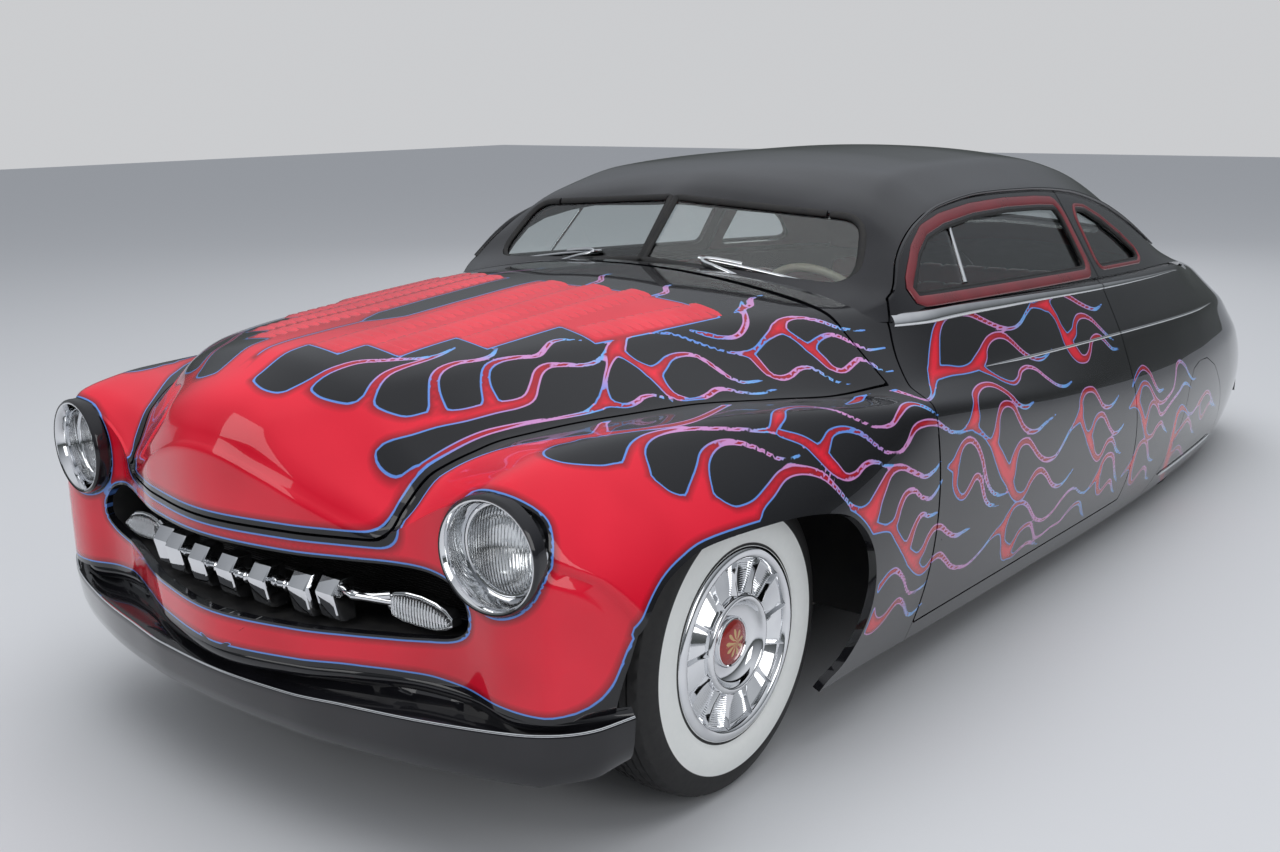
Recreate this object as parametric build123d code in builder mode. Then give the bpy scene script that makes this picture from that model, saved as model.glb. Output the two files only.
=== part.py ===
"""A chopped and lowered custom hot rod coupe, in millimetres.

Frame: +Z up, the car faces -Y and its left side is +X. The origin is on the ground,
at the middle of the car's length and width.
"""
from build123d import *
import os

os.makedirs("parts", exist_ok=True)

# Driving sizes of the whole car
wheelbase = 2997.0
front_overhang = 740.0
rear_overhang = 1253.0
tyre_diameter = 700.0
tyre_width = 190.0
wheel_x = 743.0            # middle plane of each wheel from the car's centre line
panel_gap = 8.0            # gap round doors, hood and trunk lid
running_gap = 0.3          # gap between a turning piece and what carries it

# Wall thicknesses
fender_wall = 22.0
side_wall = 60.0           # door and quarter, outer skin to inner trim
roof_wall = 38.0
deck_wall = 30.0
skirt_wall = 24.0

length = wheelbase + front_overhang + rear_overhang
nose_y = -length / 2
tail_y = length / 2
front_axle_y = nose_y + front_overhang
rear_axle_y = front_axle_y + wheelbase
axle_z = tyre_diameter / 2
tyre_outer_x = wheel_x + tyre_width / 2

# Doors, hood and lid
door_front_y = -1050.0
door_bottom_z = 190.0
door_axis_x = 946.0        # door hinge axis, just inside the widest skin
door_axis_y = -1015.0
door_reach = 1432.0        # from the hinge axis to the door's rear edge, an arc about the axis
hinge_pin_radius = 6.0
door_inner_x = 600.0       # innermost reach of the door's frame, under the drip rail
pillar_x = 690.0           # boundary of windshield pillar and door frame
pillar_rear_y = -780.0
belt_inner_x = 735.0       # inner edge of doors and quarters at the belt
hood_rear_y = -1120.0
firewall_y = -1090.0       # rear face of the firewall
lid_front_y = 1716.0
lid_half_width = 490.0
lid_lower_z = 540.0
hood_front_z = 676.0

# Columns: y, sill x, sill z, widest x, widest z, fender crest x, z, valley x, z,
# shoulder x, z, top z on the centre line
BODY = [
    (nose_y, 560, 250, 640, 420, 560, 600, 380, 590, 120, 800, 850),
    (-2440, 640, 230, 730, 430, 640, 720, 400, 655, 160, 880, 925),
    (-2365, 740, 210, 835, 450, 700, 825, 450, 700, 230, 905, 968),
    (-2290, 800, 190, 880, 480, 712, 848, 484, 790, 300, 935, 1000),
    (-2150, 840, 170, 925, 500, 725, 860, 543, 842, 370, 964, 1013),
    (-1955, 865, 160, 948, 510, 762, 856, 612, 853, 410, 980, 1024),
    (-1755, 875, 155, 957, 510, 800, 846, 674, 852, 455, 984, 1040),
    (-1500, 880, 150, 960, 500, 855, 822, 742, 832, 525, 982, 1056),
    (-1300, 880, 146, 960, 490, 900, 796, 797, 811, 600, 978, 1058),
    (-1050, 880, 135, 958, 480, 938, 762, 862, 803, 700, 974, 1057),
    (-800, 880, 124, 960, 460, 942, 728, 868, 790, 796, 972, 1000),
    (-300, 880, 106, 964, 430, 942, 660, 880, 762, 803, 950, 975),
    (300, 880, 84, 965, 400, 938, 600, 888, 735, 803, 915, 940),
    (900, 878, 75, 958, 385, 930, 560, 882, 705, 788, 885, 905),
    (1300, 866, 75, 942, 380, 915, 545, 866, 685, 764, 868, 885),
    (1700, 845, 80, 912, 380, 885, 530, 825, 670, 700, 815, 912),
    (2000, 800, 95, 868, 380, 840, 520, 775, 645, 640, 772, 880),
    (2250, 730, 120, 800, 378, 768, 505, 700, 605, 555, 700, 795),
    (2370, 650, 160, 722, 370, 690, 480, 620, 560, 470, 635, 712),
    (tail_y - 45, 530, 200, 590, 365, 556, 440, 490, 495, 360, 540, 580),
]

# Columns: y, base x, z, drip rail x, z, brow x, z, top z on the centre line,
# share of the brow-to-top rise that is still to come halfway in
ROOF = [
    (-1030, 790, 984, 776, 992, 655, 996, 1040, 0.49),
    (-935, 790, 978, 752, 1026, 655, 1030, 1140, 0.49),
    (-850, 792, 974, 716, 1086, 612, 1112, 1229, 0.47),
    (-785, 794, 970, 700, 1122, 584, 1188, 1262, 0.40),
    (-680, 797, 966, 680, 1160, 545, 1236, 1292, 0.32),
    (-500, 800, 958, 657, 1196, 505, 1282, 1316, 0.27),
    (-200, 803, 945, 642, 1213, 485, 1298, 1332, 0.25),
    (150, 805, 924, 640, 1205, 482, 1298, 1335, 0.25),
    (500, 800, 904, 640, 1178, 482, 1280, 1322, 0.25),
    (800, 790, 890, 648, 1120, 490, 1232, 1284, 0.25),
    (1050, 778, 879, 668, 1035, 500, 1160, 1225, 0.25),
    (1270, 766, 869, 700, 930, 515, 1060, 1148, 0.27),
    (1480, 748, 850, 700, 868, 530, 935, 1040, 0.30),
    (1690, 700, 815, 665, 825, 520, 850, 915, 0.35),
]


def cross_plane(y):
    """Upright plane across the car at y, seen from the front: X right, Z up."""
    return Plane.XZ.offset(-y)


def body_solid(inset):
    """The body below the belt as one closed form, its walls moved inwards by inset."""
    with BuildPart() as form:
        for row in BODY:
            y, sx, sz, wx, wz, cx, cz, vx, vz, hx, hz, top = row
            if row is BODY[-1]:
                y -= inset
            drop = 90.0 if inset else 0.0
            sill = (sx - inset, sz - drop)
            wide = (wx - inset, wz)
            crest = (cx - inset * 0.75, cz - inset * 0.75)
            valley = (vx - inset * 0.7, vz - inset)
            shoulder = (hx - inset * 0.6, hz - inset)
            ridge = (0, top - inset)
            with BuildSketch(cross_plane(y)):
                with BuildLine():
                    ThreePointArc(sill, wide, crest)
                    Line(crest, valley)
                    Line(valley, shoulder)
                    ThreePointArc(shoulder, ridge, (-shoulder[0], shoulder[1]))
                    Line((-shoulder[0], shoulder[1]), (-valley[0], valley[1]))
                    Line((-valley[0], valley[1]), (-crest[0], crest[1]))
                    ThreePointArc((-crest[0], crest[1]), (-wide[0], wide[1]), (-sill[0], sill[1]))
                    Line((-sill[0], sill[1]), sill)
                make_face()
        loft(ruled=True)
    return form.part


def roof_solid(inset):
    """The closed form above the belt, its walls moved inwards by inset."""
    with BuildPart() as form:
        for y, bx, bz, rx, rz, wx, wz, top, share in ROOF:
            drop = 60.0 if inset else 0.0
            base = (bx - inset, bz - drop)
            rail = (rx - inset * 0.85, rz - inset * 0.45)
            brow = (wx - inset * 0.45, wz - inset * 0.85)
            ridge = (0, top - inset)
            half_x = brow[0] / 2
            half_z = ridge[1] - (ridge[1] - brow[1]) * share
            with BuildSketch(cross_plane(y)):
                with BuildLine():
                    Line(base, rail)
                    Line(rail, brow)
                    ThreePointArc(brow, (half_x, half_z), ridge)
                    ThreePointArc(ridge, (-half_x, half_z), (-brow[0], brow[1]))
                    Line((-brow[0], brow[1]), (-rail[0], rail[1]))
                    Line((-rail[0], rail[1]), (-base[0], base[1]))
                    Line((-base[0], base[1]), base)
                make_face()
        loft(ruled=True)
    return form.part


def side_prism(points, x_low, x_high):
    """Prism across the car from x_low to x_high, on an outline of (y, z) points."""
    with BuildPart() as prism:
        with BuildSketch(Plane.YZ.offset(x_low)):
            with BuildLine():
                Polyline(*points, close=True)
            make_face()
        extrude(amount=x_high - x_low)
    return prism.part


def plan_prism(points, z_low, z_high):
    """Upright prism from z_low to z_high, on an outline of (x, y) points."""
    with BuildPart() as prism:
        with BuildSketch(Plane.XY.offset(z_low)):
            with BuildLine():
                Polyline(*points, close=True)
            make_face()
        extrude(amount=z_high - z_low)
    return prism.part


def front_prism(points, y_low, y_high):
    """Prism along the car from y_low to y_high, on an outline of (x, z) points."""
    with BuildPart() as prism:
        with BuildSketch(cross_plane(y_high)):
            with BuildLine():
                Polyline(*points, close=True)
            make_face()
        extrude(amount=y_high - y_low)
    return prism.part


def block(x_low, x_high, y_low, y_high, z_low, z_high):
    """Plain block between two corners."""
    return plan_prism([(x_low, y_low), (x_high, y_low), (x_high, y_high), (x_low, y_high)],
                      z_low, z_high)


def both_sides(points):
    """A half outline from the centre line outwards, closed with its mirror image."""
    return points + [(-x, y) for x, y in reversed(points) if x > 0]


def write(shape, name):
    """Label a finished piece and write its file."""
    shape.label = name
    export_step(shape, f"parts/{name}.step")


# Plan outline of the nose, and the same curve moved back for inner surfaces
NOSE = [(0, nose_y), (230, -2458), (358, -2418), (450, -2388), (560, -2368), (700, -2364),
        (800, -2345), (862, -2262), (905, -2205), (1000, -2080)]


def nose_plan(set_back):
    """Plan of the car's front half, its nose moved back by set_back."""
    half = [(x, y + set_back) for x, y in NOSE] + [(1000, door_front_y)]
    return both_sides(half)


body_outer = body_solid(0)
roof_outer = roof_solid(0)
front_end_y = door_front_y - panel_gap

with BuildPart() as front_form:
    add(body_outer)
    add(plan_prism(nose_plan(0), 0, 1200), mode=Mode.INTERSECT)
    add(block(-1000, 1000, nose_y - 10, front_end_y, 0, 1200), mode=Mode.INTERSECT)

with BuildPart() as front_hollow:
    add(body_solid(fender_wall))
    add(plan_prism(nose_plan(fender_wall * 1.2), -200, 1200), mode=Mode.INTERSECT)

with BuildPart() as front_shell:
    add(front_form.part)
    add(front_hollow.part, mode=Mode.SUBTRACT)
    add(block(-1000, 1000, nose_y - 10, front_axle_y, 0, 384), mode=Mode.SUBTRACT)

# Hood outline in plan, along the valley between hood and fender
HOOD_SEAM = [(0, nose_y - 20), (440, nose_y - 20), (449, -2352), (461, -2324), (484, -2281),
             (519, -2216), (565, -2094), (624, -1914), (674, -1749), (737, -1530), (794, -1318),
             (842, hood_rear_y)]


def hood_plan(shrink):
    """Hood outline moved inwards by shrink."""
    half = [(x - shrink if x else 0, y) for x, y in HOOD_SEAM]
    half[-1] = (half[-1][0], hood_rear_y - shrink)
    return both_sides(half + [(0, hood_rear_y - shrink)])


with BuildPart() as hood:
    add(front_shell.part)
    add(plan_prism(hood_plan(panel_gap / 2), hood_front_z + panel_gap / 2, 1200), mode=Mode.INTERSECT)
write(hood.part, "hood")

arch_points = [(-2236, -20), (-2236, 420), (-2190, 530), (-2130, 600), (-2050, 636), (-1950, 650),
               (-1700, 638), (-1520, 606), (-1440, 562), (-1385, 486), (-1362, 384), (-1372, 290),
               (-1416, 205), (-1500, 100), (-1500, -20)]
mouth_points = [(0, 620), (204, 616), (358, 608), (499, 589), (560, 566), (592, 530), (590, 500),
                (563, 481), (476, 459), (354, 449), (204, 444), (0, 442)]
lamp_x = 689.0
lamp_z = 693.0
lamp_front_y = -2378.0
lamp_radius = 113.0

# Doors: side outline (y, z) below the belt and up to the drip rail
DOOR = [(door_front_y, door_bottom_z), (door_front_y, 800), (-1082, 970), (-1010, 1004), (-935, 1040),
        (-850, 1092), (-760, 1135), (-660, 1168), (-500, 1192), (-330, 1204), (-100, 1208),
        (150, 1200), (500, 1182), (500, door_bottom_z - 27)]
WINDOW = [(-850, 1000), (-800, 1042), (-740, 1086), (-650, 1125), (-520, 1145), (-300, 1158),
          (-50, 1158), (200, 1148), (330, 1138), (350, 1104), (350, 962), (330, 948)]
QUARTER_WINDOW = [(470, 940), (478, 1090), (505, 1122), (600, 1112), (720, 1070), (850, 1005),
                  (930, 950), (935, 928), (900, 920)]


def door_cut(side, amount):
    """Prism of the door's outline on one side, grown by amount, clear of the front pillar.

    Its rear edge is an arc about the hinge axis, so the door swings past it at an even gap.
    """
    x_in = door_inner_x - amount
    x_low, x_high = (x_in, 1100) if side > 0 else (-1100, -x_in)
    with BuildPart() as prism:
        with BuildSketch(Plane.YZ.offset(x_low)):
            with BuildLine():
                Polyline(*DOOR, close=True)
            make_face()
            if amount:
                offset(amount=amount, kind=Kind.INTERSECTION)
        extrude(amount=x_high - x_low)
        pillar = sorted((side * 500, side * (pillar_x - amount)))
        add(block(pillar[0], pillar[1], -1100, pillar_rear_y - amount, 900, 1300), mode=Mode.SUBTRACT)
        with BuildSketch(Plane.XY) as reach:
            with Locations((side * door_axis_x, door_axis_y)):
                Circle(door_reach + amount)
        extrude(reach.sketch, amount=1400, mode=Mode.INTERSECT)
    return prism.part


with BuildPart() as front_clip:
    add(front_shell.part)
    add(plan_prism(hood_plan(-panel_gap / 2), hood_front_z - panel_gap / 2, 1200), mode=Mode.SUBTRACT)
    add(side_prism(arch_points, -1100, 1100), mode=Mode.SUBTRACT)
    add(front_prism(both_sides(mouth_points), nose_y - 20, -2250), mode=Mode.SUBTRACT)
    add(block(-842, 842, hood_rear_y, front_end_y + 10, 840, 1200), mode=Mode.SUBTRACT)
    for side in (1, -1):
        add(door_cut(side, panel_gap), mode=Mode.SUBTRACT)
    with BuildSketch(cross_plane(-2240)):
        with Locations((lamp_x, lamp_z), (-lamp_x, lamp_z)):
            Circle(lamp_radius + running_gap)
    extrude(amount=300, mode=Mode.SUBTRACT)
write(front_clip.part, "front_clip")

with BuildPart() as side_shell:
    add(body_outer)
    add(body_solid(side_wall), mode=Mode.SUBTRACT)
    add(block(-1000, 1000, front_end_y, tail_y + 10, 0, 1200), mode=Mode.INTERSECT)
    # the cabin is open above the belt
    add(block(-belt_inner_x, belt_inner_x, front_end_y - 10, 1290, 700, 1200), mode=Mode.SUBTRACT)
    add(block(-450, 450, 1280, 1560, 700, 1200), mode=Mode.SUBTRACT)

with BuildPart() as roof_shell:
    add(roof_outer)
    add(roof_solid(roof_wall), mode=Mode.SUBTRACT)
    add(body_outer, mode=Mode.SUBTRACT)


HINGE_Z = (440.0, 590.0)   # middle height of each door hinge
strap_half = 12.0          # half height of a hinge strap
strap_x = (872.0, 892.0)   # the strap's run behind the door's inner face


def hinge_strap(z):
    """Left door's hinge at height z: a strap off the firewall, bent outwards to its pin."""
    with BuildPart() as strap:
        add(block(strap_x[0], strap_x[1], firewall_y, door_axis_y + 6, z - strap_half, z + strap_half))
        add(block(strap_x[0], door_axis_x, door_axis_y - 6, door_axis_y + 6, z - strap_half,
                  z + strap_half))
        with BuildSketch(Plane.XY.offset(z - 30)):
            with Locations((door_axis_x, door_axis_y)):
                Circle(hinge_pin_radius)
        extrude(amount=60)
    return strap.part


with BuildPart() as door_left:
    add(side_shell.part)
    add(roof_shell.part)
    add(door_cut(1, 0), mode=Mode.INTERSECT)
    add(side_prism(WINDOW, 500, 1100), mode=Mode.SUBTRACT)
    for z in HINGE_Z:
        add(block(860, door_axis_x + 7.5, -1070, door_axis_y + 12, z - strap_half - 2,
                  z + strap_half + 2), mode=Mode.SUBTRACT)
        with BuildSketch(Plane.XY.offset(z - 30 - running_gap)):
            with Locations((door_axis_x, door_axis_y)):
                Circle(hinge_pin_radius + running_gap)
        extrude(amount=60 + 2 * running_gap, mode=Mode.SUBTRACT)
write(door_left.part, "door_left")
with BuildPart() as door_right:
    add(mirror(door_left.part, about=Plane.YZ, mode=Mode.PRIVATE))
write(door_right.part, "door_right")

# Windshield: two flat panes that meet at a centre seam, and the opening cut for them
glass = 6.0
pane_points = [(0, -1015, 1056), (651, -937, 1007), (583, -787, 1184), (0, -857, 1222)]
pane_plane = Plane(origin=pane_points[0],
                   x_dir=Vector(*pane_points[1]) - Vector(*pane_points[0]),
                   z_dir=(Vector(*pane_points[1]) - Vector(*pane_points[0])).cross(
                       Vector(*pane_points[3]) - Vector(*pane_points[0])))
pane_outline = []
for corner in pane_points:
    local = pane_plane.to_local_coords(Vector(*corner))
    pane_outline.append((local.X, local.Y))


def pane(grow, low, high, past=0.0):
    """One windshield pane's outline, grown, and extruded from low to high across it.

    past carries its edge at the centre seam that far over the centre line.
    """
    foot, outer_foot, outer_head, head = pane_outline
    outline = [(foot[0] - past, foot[1]), outer_foot, outer_head, (head[0] - past, head[1])]
    with BuildPart() as solid:
        with BuildSketch(pane_plane.offset(low)):
            with BuildLine():
                Polyline(*outline, close=True)
            make_face()
            if grow:
                offset(amount=grow, kind=Kind.INTERSECTION)
        extrude(amount=high - low)
    return solid.part


def foot_strip(x_low, x_high, y_low, y_high, low, high):
    """Block in the left pane's own frame: along its foot, up its face and across it."""
    with BuildPart() as strip:
        with BuildSketch(pane_plane.offset(low)):
            with Locations(((x_low + x_high) / 2, (y_low + y_high) / 2)):
                Rectangle(x_high - x_low, y_high - y_low)
        extrude(amount=high - low)
    return strip.part


rear_window = [(0, 990), (430, 968), (452, 1000), (405, 1085), (340, 1118), (0, 1136)]

with BuildPart() as roof_panel:
    add(roof_shell.part)
    for side in (1, -1):
        add(door_cut(side, panel_gap), mode=Mode.SUBTRACT)
    add(side_prism(QUARTER_WINDOW, -1100, 1100), mode=Mode.SUBTRACT)
    opening = pane(0, -110, 110, past=25)
    add(opening, mode=Mode.SUBTRACT)
    add(mirror(opening, about=Plane.YZ, mode=Mode.PRIVATE), mode=Mode.SUBTRACT)
    # the cowl's riser takes the strip under the foot of the glass
    foot = foot_strip(-25, 652, -110, 0, -60, 60)
    add(foot, mode=Mode.SUBTRACT)
    add(mirror(foot, about=Plane.YZ, mode=Mode.PRIVATE), mode=Mode.SUBTRACT)
    add(front_prism(both_sides(rear_window), 1100, 1700), mode=Mode.SUBTRACT)
with BuildPart() as roof:
    add(max(roof_panel.part.solids(), key=lambda solid: solid.volume))
write(roof.part, "roof")

with BuildPart() as windshield:
    one = pane(-running_gap, -glass, 0)
    with_seam = block(3, 1000, -1200, -500, 900, 1300)
    add(one)
    add(with_seam, mode=Mode.INTERSECT)
    mirror(about=Plane.YZ)
write(windshield.part, "windshield")

# Glass that follows the roof's form, let into its openings
with BuildPart() as glass_shell:
    add(roof_solid(14))
    add(roof_solid(14 + glass), mode=Mode.SUBTRACT)

with BuildPart() as door_glass_left:
    add(glass_shell.part)
    add(side_prism(WINDOW, 500, 1100), mode=Mode.INTERSECT)
write(door_glass_left.part, "door_glass_left")
with BuildPart() as door_glass_right:
    add(mirror(door_glass_left.part, about=Plane.YZ, mode=Mode.PRIVATE))
write(door_glass_right.part, "door_glass_right")

with BuildPart() as quarter_glass:
    add(glass_shell.part)
    add(side_prism(QUARTER_WINDOW, 500, 1100), mode=Mode.INTERSECT)
    mirror(about=Plane.YZ)
write(quarter_glass.part, "quarter_glass")

with BuildPart() as rear_glass:
    add(glass_shell.part)
    add(front_prism(both_sides(rear_window), 1100, 1700), mode=Mode.INTERSECT)
write(rear_glass.part, "rear_glass")

# Rear half of the body: quarters with rockers, skirts, deck panel, lid and tail
SKIRT = [(772, 60), (850, 198), (955, 330), (1040, 446), (1120, 500), (1217, 515), (1330, 508),
         (1440, 462), (1530, 372), (1610, 250), (1690, 60)]
tail_lamp = (505, 585, 392, 442)      # x from, x to, z from, z to


def tail_lamp_space(side, grow):
    """Block that holds one tail lamp at the rear corner, grown by grow."""
    x_from, x_to, z_from, z_to = tail_lamp
    edges = sorted((side * (x_from - grow), side * (x_to + grow)))
    return block(edges[0], edges[1], tail_y - 110 - grow, tail_y + 20, z_from - grow, z_to + grow)


with BuildPart() as rear_body:
    add(side_shell.part)
    for side in (1, -1):
        add(door_cut(side, panel_gap), mode=Mode.SUBTRACT)
    # room for the rear tyres inside the fenders
    for reach, radius in ((tyre_outer_x - 12, axle_z + 8), (tyre_outer_x + 10, axle_z - 18)):
        with BuildSketch(Plane.YZ.offset(-reach)):
            with Locations((rear_axle_y, axle_z)):
                Circle(radius)
        extrude(amount=2 * reach, mode=Mode.SUBTRACT)

with BuildPart() as lid_space:
    add(block(-lid_half_width, lid_half_width, lid_front_y, tail_y + 20, lid_lower_z, 1200))

with BuildPart() as tail_shell:
    add(body_outer)
    add(body_solid(deck_wall), mode=Mode.SUBTRACT)

with BuildPart() as trunk_lid:
    add(tail_shell.part)
    add(block(-lid_half_width + panel_gap, lid_half_width - panel_gap, lid_front_y + panel_gap,
              tail_y + 20, lid_lower_z + panel_gap, 1200), mode=Mode.INTERSECT)
write(trunk_lid.part, "trunk_lid")

with BuildPart() as quarters:
    add(rear_body.part)
    add(lid_space.part, mode=Mode.SUBTRACT)
    add(side_prism(SKIRT, -1100, 1100), mode=Mode.SUBTRACT)
    for side in (1, -1):
        add(tail_lamp_space(side, running_gap), mode=Mode.SUBTRACT)

with BuildPart() as quarter_left:
    add(quarters.part)
    add(block(lid_half_width + 0.2, 1100, front_end_y, tail_y + 20, 0, 1200), mode=Mode.INTERSECT)
write(quarter_left.part, "quarter_left")
with BuildPart() as quarter_right:
    add(mirror(quarter_left.part, about=Plane.YZ, mode=Mode.PRIVATE))
write(quarter_right.part, "quarter_right")

with BuildPart() as lid_latch:
    add(body_solid(deck_wall + running_gap))
    add(block(-25, 25, tail_y - 112, tail_y - 80, lid_lower_z - 60, 1200), mode=Mode.INTERSECT)

with BuildPart() as tail_panel:
    add(quarters.part)
    add(block(-lid_half_width, lid_half_width, lid_front_y, tail_y + 20, 0, 1200), mode=Mode.INTERSECT)
    add(lid_latch.part)
write(tail_panel.part, "tail_panel")

with BuildPart() as deck_panel:
    add(quarters.part)
    add(block(-lid_half_width, lid_half_width, 1280, lid_front_y, 600, 1200), mode=Mode.INTERSECT)
write(deck_panel.part, "deck_panel")

with BuildPart() as skirt_left:
    add(body_outer)
    add(body_solid(skirt_wall), mode=Mode.SUBTRACT)
    add(side_prism(SKIRT, 500, 1100), mode=Mode.INTERSECT)
write(skirt_left.part, "skirt_left")
with BuildPart() as skirt_right:
    add(mirror(skirt_left.part, about=Plane.YZ, mode=Mode.PRIVATE))
write(skirt_right.part, "skirt_right")

# Front bumper blade and the pan between it and the nose
BLADE = [(0, nose_y), (221, -2484), (376, -2464), (512, -2438), (636, -2405), (749, -2368),
         (821, -2335), (889, -2285), (925, -2205)]
blade_wall = 26.0
blade_bottom_z = 238.0
pan_setback = 40.0         # from the blade to the pan behind it
pan_wall = 20.0
iron_x = 400.0             # middle of each bumper iron
iron_half = 20.0
iron_front_y = -2426.3     # just behind the blade
iron_rear_y = -2270.0      # the front ends of the frame rails
iron_low_z, iron_high_z = 260.0, 330.0
BLADE_TOP = [(0, 330), (221, 336), (376, 343), (512, 347), (749, 352), (821, 360), (889, 372), (1000, 384)]


def band(curve, set_back, wall):
    """Plan outline of a band that follows a half curve, set back from it, wall thick."""
    outer = [(max(x - set_back * 0.3, 0), y + set_back) for x, y in curve]
    inner = [(max(x - wall * 0.6, 0), y + wall) for x, y in outer]
    mirrored = [(-x, y) for x, y in outer if x > 0]
    inner_mirrored = [(-x, y) for x, y in inner if x > 0]
    return outer + inner[::-1] + inner_mirrored + mirrored[::-1]


with BuildPart() as front_bumper:
    add(plan_prism(band(BLADE, 0, blade_wall), blade_bottom_z, 400))
    add(front_prism(both_sides(BLADE_TOP)[:len(BLADE_TOP)] + [(1000, 500), (0, 500)], -2600, -2000),
        mode=Mode.SUBTRACT)
    add(front_prism([(-x, z) for x, z in BLADE_TOP] + [(-1000, 500), (0, 500)], -2600, -2000),
        mode=Mode.SUBTRACT)
write(front_bumper.part, "front_bumper")

pan_top_z = 384.0 - running_gap
with BuildPart() as front_pan:
    add(plan_prism(band(BLADE[:-1], pan_setback, pan_wall), blade_bottom_z + 8, pan_top_z))
    for side in (1, -1):
        add(block(side * iron_x - iron_half, side * iron_x + iron_half, iron_front_y, iron_rear_y,
                  iron_low_z, iron_high_z))
write(front_pan.part, "front_pan")

# Rear bumper: its half plan from the middle round the corner and back, and the plate's screw holes
REAR_BLADE = [(150, tail_y), (420, tail_y - 8), (640, tail_y - 60), (790, tail_y - 170),
              (820, tail_y - 300), (792, tail_y - 300), (765, tail_y - 185), (625, tail_y - 88),
              (410, tail_y - 36)]
rear_blade_low_z, rear_blade_high_z = 215.0, 330.0
plate_hole_x = 89.0
plate_hole_z = 272.0
plate_hole_radius = 3.5
plate_hole_reach = 60.0
with BuildPart() as rear_bumper:
    add(plan_prism(both_sides(REAR_BLADE), rear_blade_low_z, rear_blade_high_z))
    add(body_outer, mode=Mode.SUBTRACT)
    with BuildSketch(cross_plane(tail_y + 5)):
        with Locations((plate_hole_x, plate_hole_z), (-plate_hole_x, plate_hole_z)):
            Circle(plate_hole_radius)
    extrude(amount=plate_hole_reach, mode=Mode.SUBTRACT)
write(rear_bumper.part, "rear_bumper")

# Cowl behind the hood, firewall below it
tunnel_half = 130.0
tunnel_top_z = 405.0
floor_sheet = 20.0
floor_kick_z = 490.0
with BuildPart() as cowl:
    add(front_hollow.part)
    add(block(-900, 900, firewall_y - 18, firewall_y, 200, 1200), mode=Mode.INTERSECT)
    add(block(-tunnel_half, tunnel_half, -1200, -1000, 100, tunnel_top_z - floor_sheet), mode=Mode.SUBTRACT)
    for z in HINGE_Z:
        strap = hinge_strap(z)
        add(strap)
        add(mirror(strap, about=Plane.YZ, mode=Mode.PRIVATE))
write(cowl.part, "firewall")

with BuildPart() as cowl_top:
    with BuildSketch(cross_plane(-960)):
        with BuildLine():
            upper = [(0, 1012), (300, 1002), (560, 978), (700, 955), (722, 950)]
            lower = [(x, z - 24) for x, z in upper]
            Polyline(*upper, *lower[::-1], *[(-x, z) for x, z in lower[1:]],
                     *[(-x, z) for x, z in upper[:0:-1]], close=True)
        make_face()
    extrude(amount=-960 - firewall_y)
    # riser between the sunken panel and the foot of the glass
    add(foot_strip(-1, 651, -62.3, -running_gap, -24, 0))
    add(block(-1000, 0, -1300, -800, 900, 1200), mode=Mode.SUBTRACT)
    mirror(about=Plane.YZ)
write(cowl_top.part, "cowl_top")

# Floor, frame and running gear
floor_low_z = 198.0
trunk_floor_z = 380.0
floor_half = 780.0
floor_rear_y = 2260.0
tub_inner_x = 615.0        # face of each wheel tub towards the tyre
tub_sheet = 18.0
tub_front_y, tub_rear_y = 830.0, 1655.0
tub_top_z = 745.0
tub_lip_x = 668.0          # outer edge of the tub's top
with BuildPart() as floor:
    add(side_prism([(firewall_y, floor_low_z), (764, floor_low_z), (944, floor_kick_z),
                    (1608, floor_kick_z), (1714, trunk_floor_z), (floor_rear_y, trunk_floor_z),
                    (floor_rear_y, trunk_floor_z + floor_sheet), (1726, trunk_floor_z + floor_sheet),
                    (1620, floor_kick_z + floor_sheet), (932, floor_kick_z + floor_sheet),
                    (752, floor_low_z + floor_sheet), (firewall_y, floor_low_z + floor_sheet)],
                   -floor_half, floor_half))
    add(block(-tunnel_half - floor_sheet, tunnel_half + floor_sheet, firewall_y, 870, floor_low_z,
              tunnel_top_z))
    add(block(-tunnel_half, tunnel_half, firewall_y, 920, 100, tunnel_top_z - floor_sheet),
        mode=Mode.SUBTRACT)
    for side in (1, -1):
        edges = sorted((side * tub_inner_x, side * (floor_half + 20)))
        add(block(edges[0], edges[1], tub_front_y, floor_rear_y + 40, 150, tub_top_z + 35),
            mode=Mode.SUBTRACT)
        inner = sorted((side * (tub_inner_x - tub_sheet), side * tub_inner_x))
        add(side_prism([(tub_front_y, 290), (944, floor_kick_z - 20), (tub_rear_y, floor_kick_z - 20),
                        (tub_rear_y, tub_top_z), (tub_front_y, tub_top_z)], inner[0], inner[1]))
        top = sorted((side * tub_inner_x, side * tub_lip_x))
        add(block(top[0], top[1], tub_front_y, tub_rear_y, tub_top_z - tub_sheet, tub_top_z))

floor_split_y = tub_front_y - 1
with BuildPart() as floor_pan:
    add(floor.part)
    add(block(-floor_half, floor_half, firewall_y, floor_split_y, 0, 1000), mode=Mode.INTERSECT)
write(floor_pan.part, "floor_pan")
with BuildPart() as rear_floor:
    add(floor.part)
    add(block(-floor_half, floor_half, floor_split_y + running_gap, floor_rear_y, 0, 1000),
        mode=Mode.INTERSECT)
write(rear_floor.part, "rear_floor")

rail_half = 40.0
rail_x = 400.0
RAIL = [(-2270, 250), (-1330, 250), (-1150, 110), (780, 110), (960, 400), (1600, 400), (1700, 290),
        (2380, 290)]
rail_depth = 88.0
cross_half = 40.0
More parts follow.
